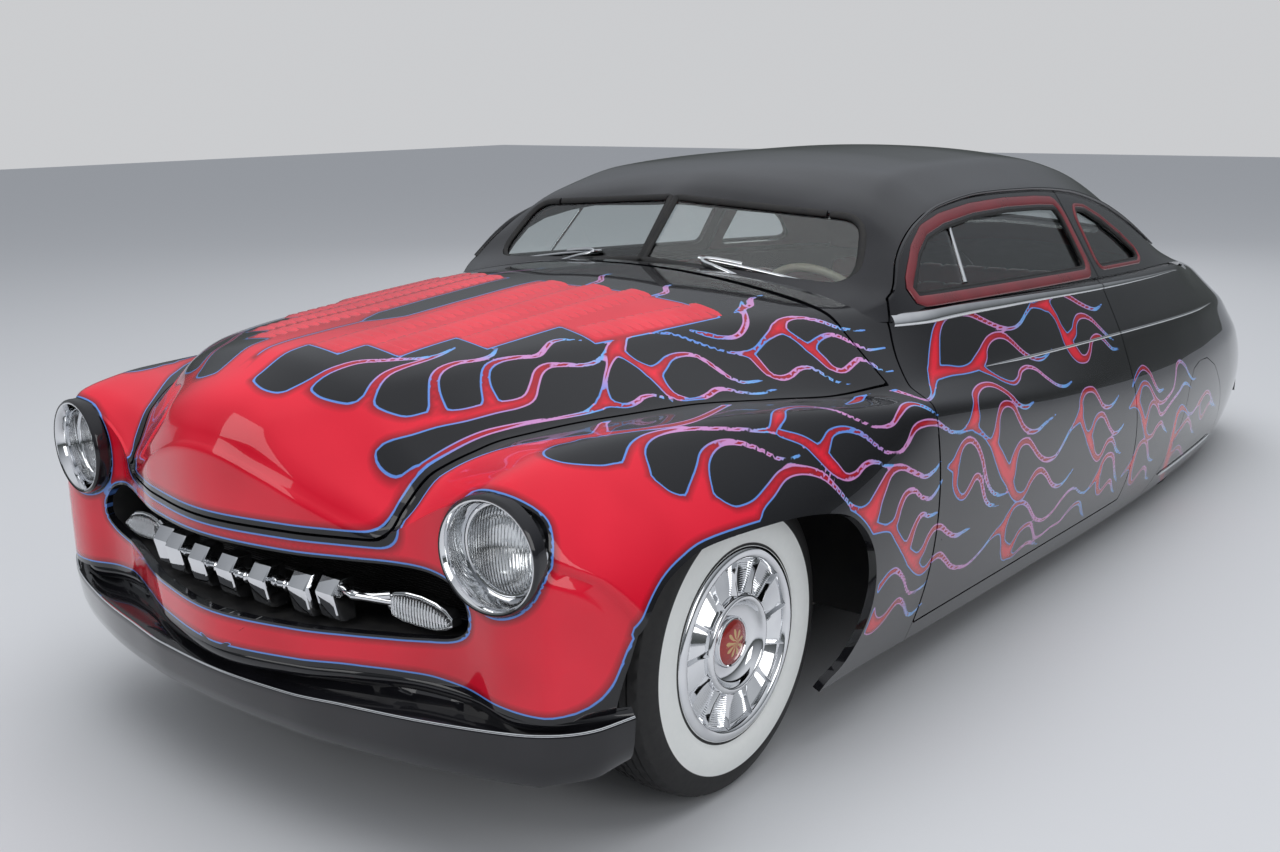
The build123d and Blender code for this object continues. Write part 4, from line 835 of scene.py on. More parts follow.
# %% Lines that the panels are cut on
hood_rear_y, hood_front_z, hood_corner = -1120.0, 676.0, 48.0
front_end_y, cowl_end_y, glass_foot_y = -1058.0, -920.0, -1003.0
shoulder_z, belt_low_z = 700, 840
panel_gap = 6.0
HOOD_SEAM = [(-60, -2600), (440, -2515), (449, -2352), (461, -2324), (484, -2281), (519, -2216), (565, -2094),
             (624, -1914), (674, -1749), (737, -1530), (794, -1318), (842, hood_rear_y), (-60, hood_rear_y)]
ARCH = [(-2236, -400), (-2236, 0), (-2236, 250), (-2234, 400), (-2190, 530), (-2130, 600), (-2050, 636), (-1950, 650),
        (-1700, 638), (-1520, 606), (-1440, 562), (-1385, 486), (-1362, 384), (-1372, 290),
        (-1416, 205), (-1500, 100), (-1500, -400)]
MOUTH = [(-204, 630), (0, 633), (204, 630), (358, 630), (480, 628), (560, 614), (604, 585), (618, 548), (606, 516),
         (560, 494), (476, 483), (354, 479), (204, 476), (0, 474), (-204, 476)]
DOOR = [(-1050, 190), (-1050, 800), (-1018, 860), (-980, 920), (-962, 960), (-948, 1004), (-915, 1046),
        (-850, 1094), (-760, 1135), (-660, 1168), (-500, 1192), (-330, 1204), (-100, 1208), (150, 1200),
        (500, 1182), (500, 163)]
WINDOW = [(-850, 1000), (-800, 1042), (-740, 1086), (-650, 1125), (-520, 1145), (-300, 1158),
          (-50, 1158), (200, 1148), (330, 1138), (350, 1104), (350, 962), (330, 948)]
QUARTER_WINDOW = [(470, 940), (478, 1090), (505, 1122), (600, 1112), (720, 1070), (850, 1005),
                  (930, 950), (935, 928), (900, 920)]
SKIRT = [(772, -300), (772, 60), (850, 198), (955, 330), (1040, 446), (1120, 500), (1217, 515), (1330, 508),
         (1440, 462), (1530, 372), (1610, 250), (1690, 60), (1690, -300)]
REAR_WINDOW = [(-430, 968), (0, 990), (430, 968), (452, 1000), (405, 1085), (340, 1118), (0, 1136), (-340, 1118)]
LOWER_EDGE = [(0, 386), (226, 392), (344, 397), (485, 396), (608, 390), (701, 384), (780, 380), (900, 386),
              (1100, 386)]
lamp_x, lamp_z, lamp_radius = 689.0, 693.0, 113.0
door_axis_x, door_axis_y, door_reach = 946.0, -1015.0, 1432.0
lid_front_y, lid_half_width, lid_lower_z, lid_corner = 1716.0, 490.0, 540.0, 40.0
belt_inner_x = 735.0
tail_lamp_x, tail_lamp_z = 545, 417


def where(condition, value):
    """A field that only holds where the condition does, and is far outside elsewhere."""
    return np.where(condition, value, FAR)


ARCH_CURVE = through_points(np.array(ARCH, float), True, 5)
MOUTH_CURVE = through_points(np.array(MOUTH, float), True, 4)


def hood_line(p, seam=HOOD_SEAM):
    return smooth_max(polygon_distance(p[:, X], p[:, Y], seam), hood_front_z - p[:, Z], hood_corner)


def hood_band_line(p):
    """The hood's seam without its rear edge, which the licks run across."""
    return where(p[:, Y] < front_end_y - 4, hood_line(p, HOOD_SEAM[:-2] + [(852, -1080), (920, -860), (-60, -860)]))


def arch_line(p):
    return where((p[:, Y] < -1200) & (p[:, X] > 500), polygon_distance(p[:, Y], p[:, Z], ARCH_CURVE))


def mouth_line(p):
    return where(p[:, Y] < -2240, polygon_distance(p[:, X], p[:, Z], MOUTH_CURVE))


def lamp_line(p):
    return where(p[:, Y] < -2240, np.hypot(p[:, X] - lamp_x, p[:, Z] - lamp_z) - lamp_radius - 1.0)


def lamp_reach(p):
    """Distance in space from the lamp opening's edge, so that its band is even where the skin turns."""
    reach = np.full(len(p), FAR)
    near = (np.abs(lamp_line(p)) < 90) & (p[:, Y] < -2150)
    gap = p[near, None, :3] - lamp_edge[None]
    reach[near] = np.sqrt((gap ** 2).sum(axis=2)).min(axis=1)
    return reach


def lower_line(p):
    edge = smooth_through(*np.array(LOWER_EDGE, float).T, p[:, X])[:, 0]
    return np.maximum(p[:, Z] - edge, p[:, Y] + 1755)


def door_line(p):
    swing = np.hypot(p[:, X] - door_axis_x, p[:, Y] - door_axis_y) - door_reach
    return np.maximum(polygon_distance(p[:, Y], p[:, Z], DOOR), swing)


def door_side_line(p):
    """The door where it shows in the body's side, and not the cowl between the doors."""
    return np.maximum(door_line(p), belt_inner_x - p[:, X])


def clip_end_line(p):
    """The front clip ends before the door, and its cowl runs back to the foot of the glass."""
    foot = glass_foot_y + 70 * np.clip(p[:, X] / 651, 0, 1.15) ** 2
    shoulder = np.where(p[:, Z] > shoulder_z, cowl_end_y, front_end_y)
    return p[:, Y] - np.where((p[:, Z] > belt_low_z) & (p[:, X] < belt_inner_x + 20), foot, shoulder)


def vent_line(p):
    """The open slot between the hood and the cowl, which narrows to a point."""
    taper = np.clip((belt_inner_x - p[:, X]) / 170, 0, 1)
    return np.maximum.reduce([p[:, X] - belt_inner_x, hood_rear_y - 20 - p[:, Y],
                              p[:, Y] - hood_rear_y - 26 * taper, belt_low_z - p[:, Z]])


def cabin_line(p):
    """The opening that the roof and the glass close."""
    middle = np.maximum.reduce([p[:, X] - belt_inner_x, front_end_y - 10 - p[:, Y], p[:, Y] - 1290,
                                shoulder_z - p[:, Z]])
    rear = np.maximum.reduce([p[:, X] - 450, 1280 - p[:, Y], p[:, Y] - 1560, shoulder_z - p[:, Z]])
    return np.minimum(middle, rear)


def skirt_line(p):
    return where(p[:, X] > 500, polygon_distance(p[:, Y], p[:, Z], SKIRT))


def lid_line(p):
    corner = smooth_max(p[:, X] - lid_half_width, lid_lower_z - p[:, Z], lid_corner)
    return np.maximum(corner, lid_front_y - p[:, Y])


def tail_lamp_line(p):
    return where(p[:, Y] > 2300, np.maximum(abs(p[:, X] - tail_lamp_x) - 40, abs(p[:, Z] - tail_lamp_z) - 25))


def bumper_line(p):
    """The strip behind the rear bumper, which the body leaves open."""
    return np.maximum(p[:, Z] - 338, 2385 - p[:, Y])


def rear_line(p):
    """The rear body starts where the front clip ends."""
    return np.where(p[:, Z] > shoulder_z, cowl_end_y, front_end_y) + 2 - p[:, Y]


# %% [markdown]
# ## Finishes shared by many pieces
# Real surfaces are never perfectly even. One node group gives a fine unevenness: a relief, and a
# mask by which colour and roughness wander. Each material places it with its own scale and strength.

# %% Shared unevenness
def effect_group(name, inputs, outputs):
    """An empty node group with named sockets."""
    group = bpy.data.node_groups.new(name, "ShaderNodeTree")
    for label, kind, value in inputs:
        socket = group.interface.new_socket(name=label, in_out="INPUT", socket_type=kind)
        if value is not None:
            socket.default_value = value
    for label, kind in outputs:
        group.interface.new_socket(name=label, in_out="OUTPUT", socket_type=kind)
    return group, group.nodes, group.links, group.nodes.new("NodeGroupInput"), group.nodes.new("NodeGroupOutput")


unevenness, g_nodes, g_links, g_in, g_out = effect_group(
    "unevenness", [("Scale", "NodeSocketFloat", 40.0), ("Strength", "NodeSocketFloat", 0.1)],
    [("Normal", "NodeSocketVector"), ("Mask", "NodeSocketFloat")])
g_noise = texture(g_nodes, g_links, "Noise", 40.0, Detail=5)
g_bump = g_nodes.new("ShaderNodeBump")
g_bump.inputs["Distance"].default_value = 0.002
g_links.new(g_in.outputs["Scale"], g_noise.inputs["Scale"])
g_links.new(g_in.outputs["Strength"], g_bump.inputs["Strength"])
g_links.new(g_noise.outputs["Fac"], g_bump.inputs["Height"])
g_links.new(g_bump.outputs["Normal"], g_out.inputs["Normal"])
g_links.new(g_noise.outputs["Fac"], g_out.inputs["Mask"])


def uneven(nodes, links, shader, scale, strength):
    """Place the unevenness group on a shader; returns its mask."""
    node = nodes.new("ShaderNodeGroup")
    node.node_tree = unevenness
    node.inputs["Scale"].default_value = scale
    node.inputs["Strength"].default_value = strength
    links.new(node.outputs["Normal"], shader.inputs["Normal"])
    return node.outputs["Mask"]


def ranged(nodes, links, value, low, high, to_low, to_high):
    """Map a value from one range to another."""
    node = nodes.new("ShaderNodeMapRange")
    for label, limit in (("From Min", low), ("From Max", high), ("To Min", to_low), ("To Max", to_high)):
        node.inputs[label].default_value = limit
    links.new(value, node.inputs["Value"])
    return node.outputs["Result"]


def stored(nodes, label):
    """A value that is kept on the mesh."""
    node = nodes.new("ShaderNodeAttribute")
    node.attribute_name = label
    return node.outputs["Fac"]


def two_tone(name, first, second, rough, metal=0.0, coat=0.0, scale=30.0, bump=0.05, spread=(0.35, 0.65)):
    """A finish that wanders between two close colours, with a fine unevenness."""
    material, nodes, links, shader = new_material(name, first, rough, metal, coat)
    mask = uneven(nodes, links, shader, scale, bump)
    blend = ranged(nodes, links, mask, spread[0], spread[1], 0.0, 1.0)
    links.new(mixed(nodes, links, blend, first, second), shader.inputs["Base Color"])
    links.new(ranged(nodes, links, mask, 0.3, 0.7, rough * 0.85, min(rough * 1.2, 1.0)), shader.inputs["Roughness"])
    return material


# %% [markdown]
# ## The flame paint
# Black lacquer, red licks over it, a pinstripe that hides the edge of the masking, a soft dark
# halo sprayed inside the red, and clear coat over all. The skin's stored depth gives every edge:
# above zero is red, a band round zero is the stripe, and the halo is a slow ramp. The stripe turns
# from blue at the root to lavender in the middle of a lick and back to blue at its tip.

# %% Flame paint
RED = (0.72, 0.004, 0.026)
HOT_RED = (0.86, 0.012, 0.040)
DEEP_RED = (0.22, 0.004, 0.012)
BLACK = (0.008, 0.008, 0.010)
STRIPE_BLUE = (0.12, 0.28, 0.74)
STRIPE_PINK = (0.60, 0.27, 0.58)
STRIPE_SKY = (0.16, 0.42, 0.85)
stripe_half, stripe_blur, halo_reach = 1.8, 0.5, 16.0       # millimetres
lacquer_specular = 0.1

flame_paint, nodes, links, shader = new_material("flame_paint", BLACK, 0.22, 0.0, 1.0)
shader.inputs["Coat Roughness"].default_value = 0.02
shader.inputs["Specular IOR Level"].default_value = lacquer_specular
cloud = texture(nodes, links, "Noise", 3.2, Detail=2)
depth_value = stored(nodes, "depth")
candy = mixed(nodes, links, ranged(nodes, links, cloud.outputs["Fac"], 0.35, 0.65, 0, 1), RED, HOT_RED)
halo = ranged(nodes, links, depth_value, 0.0, halo_reach, 0.0, 1.0)
red_area = mixed(nodes, links, halo, DEEP_RED, candy)
is_red = ranged(nodes, links, depth_value, -0.4, 0.4, 0.0, 1.0)
ground = mixed(nodes, links, is_red, BLACK, red_area)
stripe_colour = coloured_ramp(nodes, links, stored(nodes, "tip"), (
    (0.0, STRIPE_BLUE), (1.0, STRIPE_BLUE), (0.22, STRIPE_BLUE), (0.42, STRIPE_PINK), (0.72, STRIPE_PINK),
    (0.90, STRIPE_SKY)))
distance = calculated(nodes, links, "ABSOLUTE", depth_value)
is_stripe = ranged(nodes, links, distance, stripe_half - stripe_blur, stripe_half + stripe_blur, 1.0, 0.0)
links.new(mixed(nodes, links, is_stripe, ground, stripe_colour), shader.inputs["Base Color"])
uneven(nodes, links, shader, 14.0, 0.012)

black_paint = two_tone("black_paint", BLACK, (0.014, 0.014, 0.017), 0.2, coat=1.0, scale=6, bump=0.01)
black_paint.node_tree.nodes["Principled BSDF"].inputs["Specular IOR Level"].default_value = lacquer_specular
inner_black = two_tone("inner_black", (0.010, 0.010, 0.011), (0.022, 0.021, 0.020), 0.6, scale=25, bump=0.15)
maroon_paint = two_tone("maroon_paint", (0.16, 0.012, 0.018), (0.20, 0.016, 0.024), 0.3, coat=0.6, scale=9,
                        bump=0.02)
chrome = two_tone("chrome", (0.86, 0.87, 0.88), (0.80, 0.81, 0.83), 0.05, metal=1.0, scale=18, bump=0.01)
rubber = two_tone("rubber", (0.012, 0.012, 0.013), (0.026, 0.025, 0.024), 0.62, scale=60, bump=0.2)
chassis_black = two_tone("chassis_black", (0.018, 0.018, 0.019), (0.045, 0.040, 0.036), 0.55, scale=12, bump=0.2)
cast_iron = two_tone("cast_iron", (0.10, 0.095, 0.09), (0.17, 0.16, 0.15), 0.6, metal=0.6, scale=55, bump=0.5)
steel_pipe = two_tone("steel_pipe", (0.35, 0.33, 0.31), (0.52, 0.49, 0.46), 0.35, metal=1.0, scale=20, bump=0.12)


# %% Glass
glass_ior = 1.45


def glass_material(name, tint, rough=0.0):
    material, nodes, links, shader = new_material(name, tint, rough)
    shader.inputs["Transmission Weight"].default_value = 1.0
    shader.inputs["IOR"].default_value = glass_ior
    film = texture(nodes, links, "Noise", 5)
    links.new(ranged(nodes, links, film.outputs["Fac"], 0.4, 0.7, rough, rough + 0.02), shader.inputs["Roughness"])
    return material


clear_glass = glass_material("clear_glass", (0.90, 0.94, 0.93))
red_lens = glass_material("red_lens", (0.75, 0.01, 0.01), 0.05)
print("materials", len(bpy.data.materials))


# %% [markdown]
# ## Body panels
# The front clip, the hood, the doors, the roof and the rear body are cut from the skin. Black
# bands with their own blue stripe follow the hood seam, the lamp rings, the mouth, the wheel
# openings and the lower edge, so the distance to each of these lines also limits the red.

# %% Black bands along the edges
def banded(points, lines):
    """Hold the red back from each line by its band width."""
    points = points.copy()
    for line, width in lines:
        reach = np.clip(np.abs(line(points)), 0, FLAME_REACH) - width
        points[:, DEPTH] = np.minimum(points[:, DEPTH], reach)
        points[:, TIP] = np.where(points[:, DEPTH] == reach, 0.0, points[:, TIP])
    return points


ring = clip(body_points, body_faces, lamp_line)[0][len(body_points):, :3]
turn_round = np.arctan2(ring[:, Z] - lamp_z, ring[:, X] - lamp_x)
lamp_edge = np.stack([np.interp(np.linspace(-math.pi, math.pi, 360), np.sort(turn_round),
                                ring[np.argsort(turn_round), k], period=2 * math.pi) for k in range(3)], axis=1)


def arch_and_lower(p):
    """The wheel opening's band runs on into the lower band round a soft corner."""
    return np.maximum(-smooth_max(-np.abs(arch_line(p)), -np.abs(lower_line(p)), 70.0), 0.0)


BANDS = [(hood_band_line, 15), (mouth_line, 7), (lamp_reach, 8), (arch_and_lower, 13)]     # line and width
body_skin = banded(body_points, BANDS)
paint_set = [flame_paint, inner_black, flame_paint]

# %% Front clip
def cut(points, faces, *lines):
    """Cut a skin on several lines, one after another."""
    for line in lines:
        points, faces = clip(points, faces, line)
    return points, faces


def whole_panel(name, half, wall, materials, slot, body, nodes, sink=0.0):
    """A panel that crosses the centre line: a half skin and its mirror image as one piece."""
    panel = skin_object(name, *joined(half, mirrored(*half)), wall, materials, sink)
    return put(panel, slot, body, *nodes)


half_clip = cut(body_skin, body_faces, clip_end_line, outside(hood_line, panel_gap / 2), outside(arch_line),
                outside(mouth_line), outside(lamp_line), outside(lower_line), outside(vent_line),
                outside(door_side_line, panel_gap), lambda p: 100 - p[:, Z])
whole_panel("front_clip_skin", half_clip, 20.0, paint_set, "body_paint", "root", ("front_clip", "cowl_top"))

# %% Hood
half_hood = cut(body_skin, body_faces, within(hood_line, panel_gap / 2), lambda p: p[:, Y] - hood_rear_y + 3)
whole_panel("hood_skin", half_hood, 18.0, paint_set, "body_paint", "hood", ("hood",))


# %% [markdown]
# ## The roof skin
# The chopped roof is drawn the same way: stations of base, drip rail, brow and centre line. Behind
# the rear window its sections turn into those of the body, so that roof and deck become one form.

# %% Stations of the roof, in millimetres
# y, base x and z, drip rail x and z, brow x and z, top z, share of the rise left halfway in
ROOF_ROWS = [
    (-1030, 728, 946, 704, 966, 655, 984, 1040, 0.49),
    (-935, 778, 942, 748, 1006, 655, 1028, 1140, 0.49),
    (-850, 789, 962, 716, 1084, 612, 1112, 1229, 0.47),
    (-785, 794, 970, 700, 1122, 584, 1188, 1262, 0.40),
    (-680, 797, 966, 680, 1160, 545, 1236, 1292, 0.32),
    (-500, 800, 958, 657, 1196, 505, 1282, 1316, 0.27),
    (-200, 803, 945, 642, 1213, 485, 1298, 1332, 0.25),
    (150, 805, 924, 640, 1205, 482, 1298, 1335, 0.25),
    (500, 800, 904, 640, 1178, 482, 1280, 1322, 0.25),
    (800, 790, 890, 648, 1120, 490, 1232, 1284, 0.25),
    (1050, 778, 879, 668, 1035, 500, 1160, 1225, 0.25),
    (1270, 766, 869, 700, 930, 515, 1060, 1148, 0.27),
    (1480, 748, 850, 700, 868, 530, 935, 1040, 0.30),
    (1690, 700, 815, 665, 825, 520, 850, 915, 0.35),
]
ROOF_SEGMENTS = (32, 18, 40)
ROOF_STEP = 14.0
roof_front_y, roof_rear_y, merge_y = -1030.0, 1690.0, 1400.0


def roof_sections(ys):
    """Section curves of the roof at each y, from its base to the centre line."""
    rows = np.array(ROOF_ROWS, float)
    c = smooth_through(rows[:, 0], rows[:, 1:], ys)
    base, rail, brow = c[:, 0:2], c[:, 2:4], c[:, 4:6]
    ridge = np.stack([np.zeros(len(c)), c[:, 6]], axis=1)
    half = np.stack([brow[:, 0] / 2, c[:, 6] - (c[:, 6] - brow[:, 1]) * c[:, 7]], axis=1)
    side = run(base, rail, ROOF_SEGMENTS[0] + 1)
    turn = run(rail, brow, ROOF_SEGMENTS[1] + 1)[:, 1:]
    crown = arc_through(brow, half, ridge, ROOF_SEGMENTS[2] + 1)[:, 1:]
    return blur(np.concatenate([side, turn, crown], axis=1), 1.8)


def roof_grid():
    """Grid of the left half of the roof."""
    ys = np.linspace(roof_front_y, roof_rear_y, int((roof_rear_y - roof_front_y) / ROOF_STEP) + 1)
    section = roof_sections(ys)
    body = body_sections(ys)[:, VALLEY + SEGMENTS[2]:]
    place = np.linspace(0, body.shape[1] - 1.001, section.shape[1])
    low = place.astype(int)
    part = (place - low)[None, :, None]
    body = body[:, low] * (1 - part) + body[:, low + 1] * part
    share = np.clip((ys - merge_y) / (roof_rear_y - merge_y), 0, 1)[:, None, None]
    share = share ** 2 * (3 - 2 * share)
    section = section * (1 - share) + body * share
    return np.concatenate([section[..., :1], np.broadcast_to(ys[:, None, None], section[..., :1].shape),
                           section[..., 1:]], axis=2)


def plain_skin(grid, depth, tip):
    """Points and faces of a grid with no flames on it."""
    flat = grid.reshape(-1, 3)
    values = np.full((len(flat), 1), 1.0)
    return np.column_stack([flat, values * depth, values * tip]), [tuple(f) for f in grid_faces(*grid.shape[:2])]


roof_points, roof_faces = plain_skin(roof_grid(), -FLAME_REACH, 0.0)
print("roof points", len(roof_points))


# %% Rounded outlines and the windshield's own plane
def softened(outline, radius):
    """A closed outline with arcs in its corners."""
    pts = np.asarray(outline, float)
    out = []
    for before, here, after in zip(np.roll(pts, 1, axis=0), pts, np.roll(pts, -1, axis=0)):
        a, b = before - here, after - here
        la, lb = np.hypot(*a), np.hypot(*b)
        half = math.acos(np.clip(np.dot(a, b) / la / lb, -1, 1)) / 2
        if half > 1.5:
            out.append(here)
            continue
        back = min(radius / math.tan(half), 0.45 * la, 0.45 * lb)
        start, end = here + a / la * back, here + b / lb * back
        for t in np.linspace(0, 1, 7):
            out.append(start * (1 - t) ** 2 + 2 * here * t * (1 - t) + end * t ** 2)
    return np.array(out)


PANE = np.array([(0, -1015, 1056), (651, -937, 1007), (583, -787, 1184), (0, -857, 1222)], float)
pane_u = (PANE[1] - PANE[0]) / np.linalg.norm(PANE[1] - PANE[0])
pane_n = np.cross(PANE[1] - PANE[0], PANE[3] - PANE[0])
pane_n /= np.linalg.norm(pane_n)
pane_v = np.cross(pane_n, pane_u)
pane_corners = [((c - PANE[0]) @ pane_u, (c - PANE[0]) @ pane_v) for c in PANE]
pane_past, pane_corner = 240.0, 88.0
inner_low, outer_low, outer_high, inner_high = (np.array(c) for c in pane_corners)
pane_wide = softened([inner_low + (inner_low - outer_low) / np.linalg.norm(inner_low - outer_low) * pane_past,
                      outer_low, outer_high,
                      inner_high + (inner_high - outer_high) / np.linalg.norm(inner_high - outer_high) * pane_past],
                     pane_corner)
WINDOW_EDGE = softened(WINDOW, 34.0)
QUARTER_EDGE = softened(QUARTER_WINDOW, 34.0)
REAR_EDGE = softened(REAR_WINDOW, 40.0)
roof_rows = np.array(ROOF_ROWS, float)


def pane_line(p):
    local = p[:, :3] - PANE[0]
    across = np.abs(local @ pane_n) - 110
    return np.maximum.reduce([polygon_distance(local @ pane_u, local @ pane_v, pane_wide), across, -30 - p[:, X]])


def roof_door_line(p):
    """The door's window frame, which ends on the drip rail along the windshield post."""
    rail = smooth_through(roof_rows[:, 0], roof_rows[:, 3], np.clip(p[:, Y], roof_front_y, roof_rear_y))[:, 0]
    pillar = np.maximum.reduce([p[:, X] - rail + 3, p[:, Y] + 600, 900 - p[:, Z]])
    return np.maximum.reduce([door_line(p), 600 - p[:, X], -pillar])


def window_line(p):
    return where(p[:, X] > 500, polygon_distance(p[:, Y], p[:, Z], WINDOW_EDGE))


def quarter_window_line(p):
    return where(p[:, X] > 500, polygon_distance(p[:, Y], p[:, Z], QUARTER_EDGE))


def rear_window_line(p):
    return where(p[:, Y] > 1100, polygon_distance(p[:, X], p[:, Z], REAR_EDGE))


def under_roof(p):
    """The part of the body's top that the roof covers."""
    base = smooth_through(roof_rows[:, 0], roof_rows[:, 1], p[:, Y])[:, 0]
    return np.maximum.reduce([p[:, X] - base + 3, 1290 - p[:, Y], p[:, Y] - roof_rear_y + 2, shoulder_z - p[:, Z]])


# %% [markdown]
# ## Roof, doors and rear body
# Each is one shell that follows the skin. A door is its lower panel and its window frame together,
# because they swing as one. Its inner trim is the same skin again, moved inwards.

# %% Roof
headliner = two_tone("headliner", (0.11, 0.012, 0.016), (0.14, 0.018, 0.022), 0.9, scale=220, bump=0.3)
half_roof = cut(roof_points, roof_faces, outside(roof_door_line, panel_gap), outside(pane_line),
                outside(quarter_window_line), outside(rear_window_line))
whole_panel("roof_skin", half_roof, 30.0, [black_paint, headliner, black_paint], "black_paint", "root", ("roof",))


# %% Doors
def side_pieces(name, points, faces, wall, materials, nodes, bodies, slot, sink=0.0):
    """The same piece on both sides, left first."""
    for side, skin, node, body in (("left", (points, faces), nodes[:1], bodies[0]),
                                   ("right", mirrored(points, faces), nodes[1:], bodies[1])):
        put(skin_object(name + "_" + side, *skin, wall, materials, sink), slot, body, *node)


half_door = cut(body_skin, body_faces, within(door_line), outside(cabin_line))
half_frame = cut(roof_points, roof_faces, within(roof_door_line), outside(window_line))
DOORS = ("door_left", "door_right")
side_pieces("door_skin", *joined(half_door, half_frame), 20.0, paint_set, DOORS, DOORS, "body_paint")

trim_vinyl = two_tone("trim_vinyl", (0.17, 0.012, 0.018), (0.21, 0.018, 0.026), 0.42, scale=160, bump=0.25)
trim_step, trim_top_z = 34.0, 905
half_trim = cut(*plain_skin(body_grid(trim_step)[0], -1.0, -1.0), within(door_line, 40.0), outside(cabin_line),
                lambda p: p[:, Z] - trim_top_z)
side_pieces("door_trim", *half_trim, 24.0, [trim_vinyl] * 3, (), DOORS, "seat_vinyl", sink=30.0)

# %% Rear body, skirts and trunk lid
half_rear = cut(body_skin, body_faces, rear_line, outside(door_line, panel_gap), outside(cabin_line),
                outside(under_roof), outside(skirt_line, 1.5), outside(lid_line, panel_gap / 2),
                outside(tail_lamp_line, 1.5), outside(bumper_line))
whole_panel("rear_body_skin", half_rear, 22.0, paint_set, "body_paint", "root",
            ("quarter_left", "quarter_right", "deck_panel", "tail_panel"))

half_skirt = cut(body_skin, body_faces, within(skirt_line, 1.5))
side_pieces("skirt_skin", *half_skirt, 18.0, paint_set, ("skirt_left", "skirt_right"), ("root", "root"),
            "body_paint")

half_lid = cut(body_skin, body_faces, within(lid_line, panel_gap / 2))
whole_panel("trunk_lid_skin", half_lid, 22.0, paint_set, "body_paint", "trunk_lid", ("trunk_lid",))

# %% Tail lamps
half_tail = cut(body_points, body_faces, within(tail_lamp_line, 1.0))
whole_panel("tail_lamp_lenses", half_tail, 14.0, [red_lens] * 3, "red_lens", "root", ("tail_lamps",))

# %% Side and rear glass
glass_lap, glass_wall, glass_sink = 7.0, 4.5, 15.0
half_door_glass = cut(roof_points, roof_faces, within(window_line, -glass_lap))
side_pieces("door_glass_pane", *half_door_glass, glass_wall, [clear_glass] * 3,
            ("door_glass_left", "door_glass_right"), DOORS, "clear_glass", sink=glass_sink)
for name, line, node in (("quarter_glass_panes", quarter_window_line, "quarter_glass"),
                         ("rear_glass_pane", rear_window_line, "rear_glass")):
    whole_panel(name, cut(roof_points, roof_faces, within(line, -glass_lap)), glass_wall, [clear_glass] * 3,
                "clear_glass", "root", (node,), glass_sink)

# %% [markdown]
# ## Trim swept along the body
# Mouldings, gaskets and rails are one small section carried along a line on the skin. The line is
# read from the same section curves as the panels, so that the trim always lies on the metal.

# %% From rings of points to a piece
def bridge(shape, rings, closed=False, wrap=True):
    """Faces between neighbouring rings of vertices."""
    count = len(rings[0])
    for first, second in zip(rings, rings[1:] + rings[:1] if closed else rings[1:]):
        for k in range(count if wrap else count - 1):
            after = (k + 1) % count
            shape.faces.new((first[k], first[after], second[after], second[k]))


def smooth(piece, angle):
    """Smooth shading that keeps edges sharper than the angle."""
    picked(piece)
    bpy.ops.object.shade_smooth_by_angle(angle=math.radians(angle))


def finished(name, shape, material, angle=0, closed=True):
    """An object from edited faces; a closed form has its faces turned outwards."""
    if closed:
        bmesh.ops.recalc_face_normals(shape, faces=shape.faces)
    mesh = bpy.data.meshes.new(name)
    shape.to_mesh(mesh)
    shape.free()
    piece = placed_object(name, mesh, material)
    if angle:
        smooth(piece, angle)
    return piece


# %% Sweeps
def bar(name, path, section, outward, material, closed=False, taper=None):
    """Carry a section of (outward, sideways) points along a path, all in millimetres."""
    path = np.asarray(path, float)
    outward = np.broadcast_to(np.asarray(outward, float), path.shape)
    if closed:
        along = np.roll(path, -1, axis=0) - np.roll(path, 1, axis=0)
    else:
        along = np.gradient(path, axis=0)
    along /= np.linalg.norm(along, axis=1)[:, None]
    side = np.cross(along, outward)
    side /= np.linalg.norm(side, axis=1)[:, None]
    out = np.cross(side, along)
    size = np.ones(len(path)) if taper is None else np.asarray(taper, float)
    shape = bmesh.new()
    rings = []
    for spot, o, s, k in zip(path, out, side, size):
        rings.append([shape.verts.new((spot + (o * a + s * b) * k) * MM) for a, b in section])
    bridge(shape, rings, closed)
    if not closed:
        shape.faces.new(rings[0][::-1])
        shape.faces.new(rings[-1])
    return finished(name, shape, material, 35)


def flipped(path):
    """The path on the other side of the car."""
    return np.asarray(path, float) * (-1, 1, 1)


def oval(deep, wide, count=14):
    """A rounded section, deep outwards and wide sideways."""
    turn = np.linspace(0, 2 * math.pi, count, endpoint=False)
    return [(deep * math.cos(a), wide * math.sin(a)) for a in turn]


def domed(deep, wide):
    """A moulding's section: flat at the back with a rounded face."""
    turn = np.linspace(-math.pi / 2, math.pi / 2, 9)
    return [(deep * math.cos(a), wide * math.sin(a)) for a in turn] + [(-deep * 0.4, wide), (-deep * 0.4, -wide)]


def skin_path(index, ys, lift=0.0):
    """Points along one place of the body's section curves, lifted off the skin, with their normals."""
    ys = np.asarray(ys, float)
    here = body_sections(ys)
    spot = here[:, index]
    tangent = here[:, index + 1] - here[:, index - 1]
    tangent /= np.linalg.norm(tangent, axis=1)[:, None]
    out = np.stack([tangent[:, 1], np.zeros(len(ys)), -tangent[:, 0]], axis=1)
    path = np.stack([spot[:, 0], ys, spot[:, 1]], axis=1) + out * lift
    return path, out


def both(name, path, section, outward, material, slot, bodies=("root", "root"), closed=False, taper=None):
    """The same bar on both sides."""
    put(bar(name + "_left", path, section, outward, material, closed, taper), slot, bodies[0])
    other = flipped(np.broadcast_to(outward, np.shape(path)))
    put(bar(name + "_right", flipped(path), section, other, material, closed, taper), slot, bodies[1])


# %% Belt moulding, in two lengths that part at the door
belt_index = VALLEY + SEGMENTS[2] - 4
door_rear_belt_y = 410.0
FIXED = ("root", "root")


